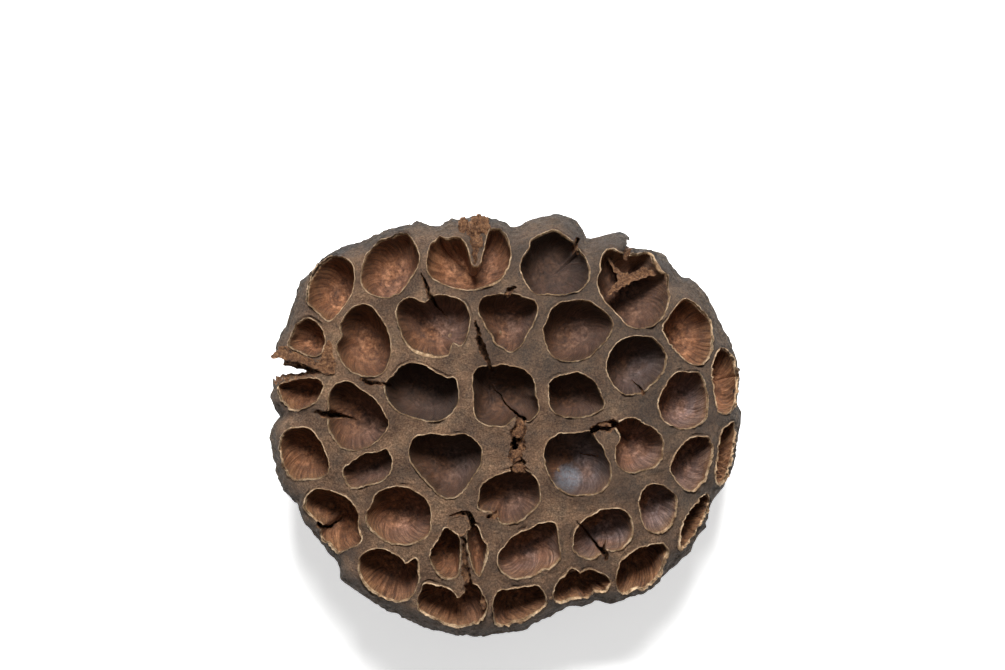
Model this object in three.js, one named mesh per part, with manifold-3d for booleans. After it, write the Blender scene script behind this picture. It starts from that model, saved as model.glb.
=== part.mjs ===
// The dried seed head (receptacle) of a lotus: one woody, spongy piece shaped like a shower rose.
// Its domed face holds the empty sockets that the seeds dropped out of, and its back narrows to the
// flat scar where the stem was cut off. Millimetres, +Z up, origin at the centre of that scar.
import * as THREE from "three";
import { mergeVertices } from "three/addons/utils/BufferGeometryUtils.js";
import Module from "manifold-3d";

const wasm = await Module();
wasm.setup();

// ---- Driving dimensions ----
const crown = new THREE.Vector3(-9, 7, 58); // the highest point of the face
const crownToRim = 21; // how far the rim lies below the crown, on average
const nod = 6; // how much further it falls on the low side, and less on the high side
const nodToward = THREE.MathUtils.degToRad(-22); // the low side, as an angle from +X
const domeExponent = 2.3; // 2 is an ellipsoid, more is flatter with a steeper edge
const scarRadius = 10; // the flat stem scar that the head rests on
const scarShare = 0.2; // the scar's edge, as a share of the rim's radius in the section below
const socketDepth = 14;
const mouthReach = 4; // how far a socket's cutter stands out of the face
const socketUprightness = 0.6; // 0 leans a socket with the face, 1 stands it upright
const rimSteps = 64;
const socketSteps = 13;

// The rim's outline seen from above, anticlockwise from the right.
const rimOutline = [
  [52.0, 0.5], [51.7, 9.0], [50.6, 17.0], [47.8, 24.0], [43.6, 31.4], [37.6, 35.2], [33.0, 39.4],
  [27.0, 42.8], [20.0, 42.6], [16.6, 45.4], [11.0, 47.4], [5.0, 46.0], [1.0, 45.2], [-4.0, 46.8],
  [-11.6, 46.6], [-15.4, 45.0], [-21.0, 45.2], [-28.0, 44.0], [-35.0, 41.0], [-42.6, 35.8],
  [-47.0, 28.6], [-50.6, 20.6], [-52.2, 14.0], [-52.6, 7.0], [-52.6, 0.0], [-52.0, -7.0],
  [-49.8, -14.0], [-46.4, -19.4], [-41.6, -25.4], [-37.4, -31.0], [-34.4, -35.8], [-28.0, -40.0],
  [-20.0, -44.0], [-12.0, -46.4], [-4.0, -46.2], [4.0, -44.8], [10.0, -41.4], [17.0, -39.4],
  [25.0, -38.4], [31.6, -35.8], [38.0, -30.4], [43.2, -23.6], [47.6, -14.6], [50.8, -7.4],
];

// The back's section from the scar's centre to the rim: radius and height as shares of the rim's.
const backSection = [[0, 0], [scarShare, 0], [0.25, 0.06], [0.36, 0.15], [0.54, 0.29], [0.74, 0.46], [0.9, 0.64],
  [0.98, 0.83], [1, 1]];
const domeShares = [0.98, 0.93, 0.85, 0.74, 0.6, 0.42, 0.2, 0];

// The cup that a seed leaves, from its bottom out past its mouth: its width as a share of the
// mouth's, and how far along its axis it lies as a share of its depth.
const cupSection = [[0, -1], [0.4, -0.96], [0.78, -0.74], [0.96, -0.4], [1, 0]];

// Each socket's mouth seen from above, with its depth where it isn't the usual one.
const sockets = [
  // the top row, from the left
  { mouth: [[-37.3, 38.1], [-34.6, 36.7], [-33.8, 33.6], [-35, 29], [-37.2, 25.3], [-39.5, 23.8],
    [-42.2, 26.2], [-44.2, 28.7], [-43.6, 32.3], [-41.2, 36.3]] },
  { mouth: [[-22.7, 43], [-19.3, 37.6], [-20.3, 34.3], [-22.9, 30.8], [-26.8, 28.9], [-30.2, 29.7],
    [-32.1, 32.5], [-31.6, 36.4], [-29.5, 40.5], [-25.6, 42.4]] },
  { mouth: [[-15.4, 42.4], [-11.2, 42.1], [-7.7, 38.6], [-6.9, 35.6], [-6, 38.6], [-3.4, 44],
    [-0.2, 42.3], [1.2, 38], [-0.9, 33.4], [-4.4, 31.2], [-9, 30.4], [-13.8, 31.3], [-17.1, 33.7],
    [-17.9, 36.2], [-17.5, 39.6]] },
  { mouth: [[10.2, 43.6], [5.1, 41.3], [3, 36.4], [5.2, 30.6], [9.6, 29], [15, 30.4], [18.1, 35.5],
    [16.6, 39.3], [13, 42.4]] },
  { mouth: [[22.6, 39.9], [26.3, 38.6], [31, 39.1], [35, 35], [35.8, 30.6], [34.8, 25.6],
    [32.8, 23.3], [29.8, 22.1], [27, 22.6], [22.9, 26.3], [20.1, 32.3], [20.3, 36.6]] },
  // the second row
  { mouth: [[-44.3, 24.7], [-40.2, 20.8], [-39.4, 17.8], [-40.3, 14.9], [-43.6, 16], [-48.2, 18.4],
    [-47.6, 21], [-46, 23.6]], depth: 11 },
  { mouth: [[-32.1, 27.4], [-27.5, 24.4], [-25.2, 17.2], [-26.2, 13.6], [-28.4, 11.3],
    [-31.2, 11], [-34.4, 12.9], [-37.8, 18.6], [-36.7, 23], [-35, 25.9]] },
  { mouth: [[-21.4, 29], [-18.6, 28.2], [-16.6, 29.6], [-12, 29.2], [-8.4, 25.6], [-8.2, 22.5],
    [-9.4, 18.6], [-12, 18.4], [-13.9, 15.7], [-18.5, 15.7], [-22.4, 18.6], [-24.5, 25],
    [-23.4, 27.9]] },
  { mouth: [[-4.9, 29.2], [0.4, 30.4], [5.2, 29.3], [6.9, 26.9], [5.9, 22.4], [3.4, 18.6],
    [0.8, 16.9], [-1.6, 18], [-4.4, 22.6], [-6.3, 26.4]] },
  { mouth: [[10.9, 27.9], [17.2, 28.8], [20.6, 27.2], [23.2, 22], [19.4, 16.6], [12.8, 14.8],
    [9.6, 16.4], [8, 21.6]] },
  { mouth: [[27.5, 20.8], [31, 20.5], [34.8, 16.8], [34.6, 12.8], [29.4, 7.7], [26.6, 7.6],
    [22.4, 11.6], [22, 16]] },
  { mouth: [[39.6, 28.6], [44.3, 24.9], [45.6, 19.6], [44.6, 15.2], [42.6, 13.9], [39.6, 15],
    [34.6, 20.9], [34.8, 23.6]] },
  { mouth: [[47.6, 17.6], [50, 16.4], [51.2, 12.5], [50.8, 6.5], [48.5, 2.7], [46.4, 3.9],
    [45, 11.5]], depth: 11 },
  // the third row
  { mouth: [[-51.2, 9.6], [-50.3, 6.4], [-46.3, 3.8], [-42, 5.6], [-40.2, 9.2], [-41.6, 11.4],
    [-46, 11.4]], depth: 11 },
  { mouth: [[-36.2, 10.6], [-33.6, 9.6], [-28.2, 5.6], [-26.4, 2.5], [-26.4, -0.4], [-29.9, -3.7],
    [-34.8, -4.9], [-38.9, -1.7], [-39.8, 4.2], [-38.5, 9.7]] },
  { mouth: [[-21.5, 14.4], [-14.9, 11.6], [-12, 11.4], [-10.8, 5.8], [-14.5, 1.7], [-18, 1.3],
    [-25.8, 5.6], [-27.2, 8.4], [-24.6, 13]] },
  { mouth: [[-5.6, 13.9], [3.6, 13.4], [6.4, 8.8], [7.1, 5.4], [4.6, 1.4], [2.6, 2], [-1.6, 0.2],
    [-4.8, 0.4], [-7.4, 5.2], [-7.6, 11.4]] },
  { mouth: [[12, 11.7], [15.6, 12.7], [20, 9.6], [21.6, 5.1], [19.8, 3.4], [14.7, 2.6], [9.5, 4.4],
    [9.2, 9.4]] },
  { mouth: [[38, 12.6], [42, 12.5], [44.2, 8], [44, 1.9], [38.8, -0.5], [33.6, 3.4], [33.6, 7.6]] },
  // the fourth row
  { mouth: [[-46, 0.3], [-41.8, -2.4], [-39.5, -7.6], [-39.5, -10], [-43.6, -11.6], [-48, -11],
    [-50.2, -6], [-49, -0.9]], depth: 12 },
  { mouth: [[-30, -4.9], [-27.4, -4.2], [-25.1, -7], [-25.9, -10.4], [-32, -13.3], [-34.6, -13],
    [-36.5, -9.4], [-35.6, -7.6]] },
  { mouth: [[-20.3, -1.6], [-16.5, -0.8], [-9.2, -0.7], [-5.3, -5], [-8, -11.8], [-12.8, -15.5],
    [-15.6, -14.6], [-21.6, -6.6]] },
  { mouth: [[11.2, -0.9], [18.4, 0.1], [22, -7], [23.1, -9.4], [21.4, -13.4], [15.4, -15.1],
    [11.8, -13.9], [8.1, -7.4], [8.3, -3.9]] },
  { mouth: [[27.2, 2.7], [33.4, -0.4], [34.9, -2.6], [33.2, -8.2], [27.2, -9.9], [23.5, -6.4],
    [23.5, -3.6], [24.8, -1.4], [24.6, 1.3]] },
  { mouth: [[42.2, -1.4], [45.6, -3.4], [44.6, -10.4], [40.8, -14.4], [38.4, -13.2], [35.8, -8.6],
    [38, -3.9]] },
  { mouth: [[50, 1.6], [51.1, -1.2], [49.4, -10.2], [48, -12.6], [46.3, -11.6], [46.5, -5],
    [47.4, 0.2]], depth: 10 },
  // the fifth row
  { mouth: [[-41.4, -12.9], [-35.2, -14.9], [-32.3, -19.6], [-32.2, -25.6], [-37, -27.6],
    [-40.8, -24.2], [-45, -17.8], [-44.2, -14]], depth: 12 },
  { mouth: [[-23.6, -12.2], [-17.8, -15], [-16.6, -21.4], [-20.4, -25.8], [-25.6, -25.6],
    [-31.5, -20.6], [-30, -16], [-27.9, -13.2]] },
  { mouth: [[-4.4, -10.4], [2.6, -8.9], [7, -12], [7.4, -16.4], [3.9, -20], [-2.2, -21],
    [-6.6, -17.2], [-6.2, -12.6]] },
  { mouth: [[22.4, -17.5], [25.4, -17.7], [28, -22.2], [25.4, -27], [22.4, -27.3], [18.5, -29.4],
    [14.9, -27.6], [15.2, -22.6], [18.2, -19.2]] },
  { mouth: [[31.6, -12.1], [34.6, -12.3], [37.8, -16], [36.8, -21.2], [33.6, -23.5], [30, -20.8],
    [28.8, -14.4]] },
  { mouth: [[44.4, -14.4], [44.4, -19.8], [38.9, -27.6], [37.7, -25.6], [39.2, -19.6]], depth: 11 },
  // the bottom row
  { mouth: [[-29.6, -26.4], [-27.6, -26.1], [-21.9, -29.4], [-19.4, -33], [-21.6, -37.7],
    [-25.6, -38.6], [-31.2, -35.2], [-33.2, -29.8]], depth: 13 },
  { mouth: [[-13.2, -21.4], [-8.2, -19.6], [-5.4, -23.6], [-3.9, -26.4], [-5.7, -32.9], [-9, -31.8],
    [-12.8, -33.2], [-17.2, -29.4], [-16.2, -25.2]] },
  { mouth: [[10.2, -20.4], [12.1, -26], [10.6, -30.2], [4.8, -33.2], [0, -32.8], [-2.5, -28.8],
    [0, -24.6], [5, -21.8]] },
  { mouth: [[30.2, -25.9], [34.2, -25.4], [35.6, -28.6], [30.4, -35.8], [26.8, -37], [23.7, -33],
    [24.9, -29]], depth: 11 },
  { mouth: [[-17.6, -34.3], [-10.9, -37.1], [-8, -34.6], [-4.4, -38.6], [-5.6, -42.3],
    [-12.4, -43.8], [-19.4, -40.6], [-19.4, -36]], depth: 12 },
  { mouth: [[-0.6, -35.5], [6.4, -34.6], [8.7, -38], [5.2, -41.6], [-0.8, -43.6], [-3.2, -41.2],
    [-2.4, -37]], depth: 11 },
  { mouth: [[14, -30.6], [22.6, -32.4], [21.6, -36], [18, -37.2], [10.6, -38.2], [10.2, -35.4]],
    depth: 10 },
];

// Splits in the dried tissue: the outline of each seen from above, and the heights it lies between.
const splits = [
  // from the middle of the face down to the socket below it
  { outline: [[3.8, 3.4], [3.9, -1], [3.5, -5], [4.4, -10.6], [1, -10.6], [0.4, -5.5], [2.2, 3.4]],
    floor: 52 },
  // where the wall between two sockets on the left edge is torn out
  { outline: [[-60, 16.5], [-48.6, 15.4], [-43, 13.4], [-41, 10.4], [-50, 10], [-60, 10]], floor: 36 },
];

// A lathe-turned closed solid, each of whose points is moved to where place() puts it, by its angle
// from +X, its radius and its height.
function shapedLathe(section, steps, place) {
  const profile = section.map(([radius, height]) => new THREE.Vector2(radius, height));
  const turned = new THREE.LatheGeometry(profile, steps).rotateX(Math.PI / 2);
  turned.deleteAttribute("normal");
  turned.deleteAttribute("uv");
  const merged = mergeVertices(turned);
  const position = merged.getAttribute("position");
  const point = new THREE.Vector3();
  for (let i = 0; i < position.count; i++) {
    point.fromBufferAttribute(position, i);
    const placed = place(Math.atan2(point.y, point.x), Math.hypot(point.x, point.y), point.z);
    position.setXYZ(i, placed.x, placed.y, placed.z);
  }
  return merged;
}

// A closed geometry as a solid that can be cut, without the flat triangles at a lathe's poles.
function solidOf(geometry) {
  const corners = geometry.index.array;
  const triangles = [];
  for (let i = 0; i < corners.length; i += 3) {
    const [a, b, c] = corners.slice(i, i + 3);
    if (a !== b && b !== c && c !== a) triangles.push(a, b, c);
  }
  const vertProperties = geometry.getAttribute("position").array;
  return new wasm.Manifold(
    new wasm.Mesh({ numProp: 3, vertProperties, triVerts: Uint32Array.from(triangles) }),
  );
}

function geometryOf(solid) {
  const { vertProperties, triVerts } = solid.getMesh();
  return new THREE.BufferGeometry()
    .setAttribute("position", new THREE.BufferAttribute(vertProperties, 3))
    .setIndex(new THREE.BufferAttribute(triVerts, 1));
}

const splineThrough = (points) =>
  new THREE.CatmullRomCurve3(
    points.map(([x, y]) => new THREE.Vector3(x, y, 0)),
    true,
    "centripetal",
  );

// The rim's outline as pairs of its direction from the crown and its distance that way.
const rimByDirection = splineThrough(rimOutline)
  .getPoints(rimOutline.length * 8)
  .slice(1)
  .map(({ x, y }) => [Math.atan2(y - crown.y, x - crown.x), Math.hypot(x - crown.x, y - crown.y)])
  .sort((a, b) => a[0] - b[0]);

function rimDistance(direction) {
  const after = rimByDirection.findIndex(([other]) => other > direction);
  if (after < 1) return rimByDirection[0][1];
  const [lower, near] = rimByDirection[after - 1];
  const [upper, far] = rimByDirection[after];
  return THREE.MathUtils.mapLinear(direction, lower, upper, near, far);
}

const rimHeight = (direction) => crown.z - crownToRim - nod * Math.cos(direction - nodToward);
const domeShare = (radius) => (1 - Math.min(radius, 1) ** domeExponent) ** (1 / domeExponent);

function domePoint(direction, radius) {
  const distance = radius * rimDistance(direction);
  const height = THREE.MathUtils.lerp(rimHeight(direction), crown.z, domeShare(radius));
  return new THREE.Vector3(
    crown.x + distance * Math.cos(direction),
    crown.y + distance * Math.sin(direction),
    height,
  );
}

// Below the rim the section draws in from the rim to the round scar.
function backPoint(direction, radius, height) {
  const rim = domePoint(direction, 1);
  const scarEdge = new THREE.Vector3(rim.x, rim.y, 0).setLength(scarRadius);
  if (radius <= scarShare) return scarEdge.multiplyScalar(radius / scarShare);
  const point = scarEdge.lerp(rim, (radius - scarShare) / (1 - scarShare));
  return point.setZ(height * rim.z);
}

function faceHeight(x, y) {
  const direction = Math.atan2(y - crown.y, x - crown.x);
  const distance = Math.hypot(x - crown.x, y - crown.y);
  return domePoint(direction, distance / rimDistance(direction)).z;
}

function faceNormal(x, y) {
  const step = 2;
  const riseX = faceHeight(x + step, y) - faceHeight(x - step, y);
  const riseY = faceHeight(x, y + step) - faceHeight(x, y - step);
  return new THREE.Vector3(-riseX, -riseY, 2 * step).normalize();
}

// The whole head before its sockets: the back from the scar out to the rim, then the dome.
function headSolid() {
  const dome = domeShares.map((radius) => [radius, 1 + domeShare(radius)]);
  return solidOf(
    shapedLathe([...backSection, ...dome], rimSteps, (direction, radius, height) =>
      height <= 1 ? backPoint(direction, radius, height) : domePoint(direction, radius),
    ),
  );
}

// What a seed's socket takes out of the head: a cup as wide as its mouth, with a round bottom.
function socketSolid({ mouth, depth = socketDepth }) {
  const outline = splineThrough(mouth);
  if (THREE.ShapeUtils.area(outline.getPoints(40)) < 0) outline.points.reverse();
  const lip = outline.getSpacedPoints(socketSteps).slice(1);
  for (const point of lip) point.z = faceHeight(point.x, point.y);
  const middle = lip.reduce((sum, point) => sum.add(point), new THREE.Vector3());
  middle.divideScalar(lip.length);
  const up = new THREE.Vector3(0, 0, 1);
  const axis = faceNormal(middle.x, middle.y).lerp(up, socketUprightness).normalize();
  const section = [...cupSection, [1.02, mouthReach / depth], [0, mouthReach / depth]];
  return solidOf(
    shapedLathe(section, socketSteps, (angle, width, along) => {
      const turn = Math.round((angle / (2 * Math.PI)) * socketSteps + socketSteps) % socketSteps;
      return middle
        .clone()
        .lerp(lip[turn], width)
        .addScaledVector(axis, along * depth);
    }),
  );
}

// What a split takes out: its outline, cut straight down to its floor.
function splitSolid({ outline, floor }) {
  const shape = new THREE.Shape(outline.map(([x, y]) => new THREE.Vector2(x, y)));
  const cut = new THREE.ExtrudeGeometry(shape, { depth: crown.z + 1 - floor, bevelEnabled: false });
  cut.deleteAttribute("normal");
  cut.deleteAttribute("uv");
  return solidOf(mergeVertices(cut.translate(0, 0, floor)));
}

const cuts = [...sockets.map(socketSolid), ...splits.map(splitSolid)];
const head = cuts.reduce((solid, cut) => solid.subtract(cut), headSolid());

const receptacle = new THREE.Mesh(
  geometryOf(head),
  new THREE.MeshStandardMaterial({ color: 0x6b5644, roughness: 0.85, metalness: 0 }),
);
receptacle.name = "receptacle";

const part = new THREE.Group();
part.add(receptacle);
export default part;
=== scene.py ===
import math

import bmesh
import bpy
import numpy as np
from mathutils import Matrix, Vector, kdtree, noise
from mathutils.bvhtree import BVHTree
from mathutils.geometry import delaunay_2d_cdt


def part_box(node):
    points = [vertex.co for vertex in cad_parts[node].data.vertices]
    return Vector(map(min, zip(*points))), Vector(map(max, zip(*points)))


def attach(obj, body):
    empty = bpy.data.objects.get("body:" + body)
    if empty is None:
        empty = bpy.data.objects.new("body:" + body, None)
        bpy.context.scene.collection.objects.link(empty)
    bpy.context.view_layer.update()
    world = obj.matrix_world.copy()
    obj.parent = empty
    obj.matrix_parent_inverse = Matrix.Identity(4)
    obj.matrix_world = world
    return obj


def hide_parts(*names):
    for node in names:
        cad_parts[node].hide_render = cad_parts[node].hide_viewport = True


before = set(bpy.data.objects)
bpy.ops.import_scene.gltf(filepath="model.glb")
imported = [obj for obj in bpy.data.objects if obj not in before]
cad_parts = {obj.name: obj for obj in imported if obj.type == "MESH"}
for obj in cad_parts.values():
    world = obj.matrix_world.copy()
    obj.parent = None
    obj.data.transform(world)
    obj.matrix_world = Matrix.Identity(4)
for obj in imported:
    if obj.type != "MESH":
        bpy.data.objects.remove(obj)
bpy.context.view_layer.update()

bpy.ops.object.select_all(action="DESELECT")

# ---------------------------------------------------------------- the head's form
# A lotus receptacle is one body of spongy tissue. The flower's face swelled into a dome round the
# seeds, and the outside draws in below the rim to the scar where the stem was cut. Millimetres.
MM = 0.001
crown_height = (Vector(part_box("receptacle")[1]) / MM).z
crown = (-9.0, 7.0, crown_height)
crown_to_rim = 21.0
nod = 6.0
nod_toward = math.radians(-22)
dome_exponent = 2.3
scar_radius = 10.0

# The rim seen from above, anticlockwise from the right, with the dips between its lobes.
rim_outline = [
    (52.4, 1.7), (51.7, 5.7), (52.0, 9.0), (51.6, 13.8), (49.8, 19.8), (48.2, 22.8), (45.9, 27.5),
    (44.9, 29.7), (43.1, 31.7), (41.4, 33.0), (39.4, 33.4), (36.2, 37.1), (34.0, 39.0), (32.2, 39.8),
    (29.0, 39.9), (27.2, 41.0), (27.4, 42.6), (25.0, 43.6), (20.6, 43.0), (18.1, 42.2), (16.2, 44.9),
    (14.8, 46.5), (11.6, 47.7), (6.4, 47.2), (4.6, 46.2), (2.7, 44.9), (1.0, 44.9), (-0.6, 46.0),
    (-2.5, 46.8), (-6.7, 47.2), (-10.2, 46.2), (-12.1, 46.8), (-13.7, 46.0), (-15.4, 44.9),
    (-17.0, 45.2), (-19.6, 45.7), (-21.5, 45.3), (-25.7, 44.4), (-28.0, 43.4), (-31.5, 41.8),
    (-36.2, 40.4), (-40.4, 38.3), (-43.7, 35.1), (-46.0, 32.7), (-46.9, 30.1), (-47.8, 27.1),
    (-49.3, 23.1), (-51.0, 20.1), (-51.8, 17.0), (-52.4, 13.0), (-52.2, 9.3), (-52.8, 7.0),
    (-51.6, 4.1), (-50.7, 2.3), (-52.2, 1.2), (-52.8, -1.5), (-52.3, -4.8), (-51.9, -7.6),
    (-51.2, -10.6), (-50.1, -13.4), (-48.7, -15.1), (-47.0, -16.7), (-46.6, -18.8), (-45.7, -21.1),
    (-43.8, -23.0), (-40.9, -26.7), (-38.2, -30.0), (-37.5, -31.9), (-36.6, -34.2), (-33.0, -37.3),
    (-30.5, -39.0), (-27.0, -40.5), (-23.5, -42.4), (-20.2, -44.0), (-17.0, -45.3), (-13.5, -46.0),
    (-7.6, -46.8), (-2.9, -46.5), (4.1, -44.9), (8.3, -43.0), (11.2, -41.2), (13.6, -40.4),
    (16.8, -40.0), (19.2, -39.2), (21.5, -38.9), (23.9, -39.4), (27.0, -38.6), (30.5, -37.3),
    (32.7, -35.7), (35.4, -33.0), (37.7, -31.3), (38.9, -30.0), (40.9, -27.5), (42.1, -25.5),
    (43.9, -22.5), (45.1, -20.0), (45.9, -17.3), (48.4, -13.5), (50.1, -10.7), (51.3, -6.5),
    (51.9, -2.8),
]


def smooth_loop(points, count):
    """The points of a closed curve through the given ones, evenly spaced along it."""
    ring = np.array(points, float)
    before, after, second = np.roll(ring, 1, 0), np.roll(ring, -1, 0), np.roll(ring, -2, 0)
    t = np.linspace(0, 1, 12, endpoint=False)[:, None, None]
    fine = 0.5 * (2 * ring + (after - before) * t + (2 * before - 5 * ring + 4 * after - second) * t**2
                  + (3 * ring - before - 3 * after + second) * t**3)
    fine = fine.transpose(1, 0, 2).reshape(-1, 2)
    closed = np.vstack([fine, fine[:1]])
    along = np.concatenate([[0], np.cumsum(np.hypot(*np.diff(closed, axis=0).T))])
    wanted = np.linspace(0, along[-1], count, endpoint=False)
    return np.column_stack([np.interp(wanted, along, closed[:, axis]) for axis in (0, 1)])


rim_points = smooth_loop(rim_outline, 900) - np.array(crown[:2])
rim_angles = np.arctan2(rim_points[:, 1], rim_points[:, 0])
rim_order = np.argsort(rim_angles)
rim_angles = rim_angles[rim_order]
rim_reach = np.hypot(*rim_points.T)[rim_order]


def rim_distance(angle):
    return np.interp(angle, rim_angles, rim_reach, period=2 * math.pi)


def rim_height(angle):
    return crown[2] - crown_to_rim - nod * np.cos(angle - nod_toward)


def polar(x, y):
    """The direction of a point from the crown, and its distance as a share of the rim's."""
    angle = np.arctan2(y - crown[1], x - crown[0])
    return angle, np.hypot(x - crown[0], y - crown[1]) / rim_distance(angle)


def face_height(x, y):
    angle, share = polar(x, y)
    rise = (1 - np.minimum(share, 0.9999) ** dome_exponent) ** (1 / dome_exponent)
    return rim_height(angle) + (crown[2] - rim_height(angle)) * rise


def on_face(xy, lift=0.0):
    """Points of the face above plan points, lifted along the face's own normal."""
    xy = np.asarray(xy, float)
    x, y = xy[:, 0], xy[:, 1]
    step = 0.6
    across = face_height(x + step, y) - face_height(x - step, y)
    along = face_height(x, y + step) - face_height(x, y - step)
    normal = np.column_stack([-across, -along, np.full(len(x), 2 * step)])
    normal /= np.linalg.norm(normal, axis=1)[:, None]
    return np.column_stack([x, y, face_height(x, y)]) + normal * np.reshape(lift, (-1, 1)), normal


def waver(points, size, seed=0.0, depth=2):
    """Smooth noise between about -1 and 1 at each point, with lumps of the given size."""
    return np.array([noise.fractal(Vector(p) / size + Vector((seed, 0, -seed)), 0.8, 2.1, depth)
                     for p in points])


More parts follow.
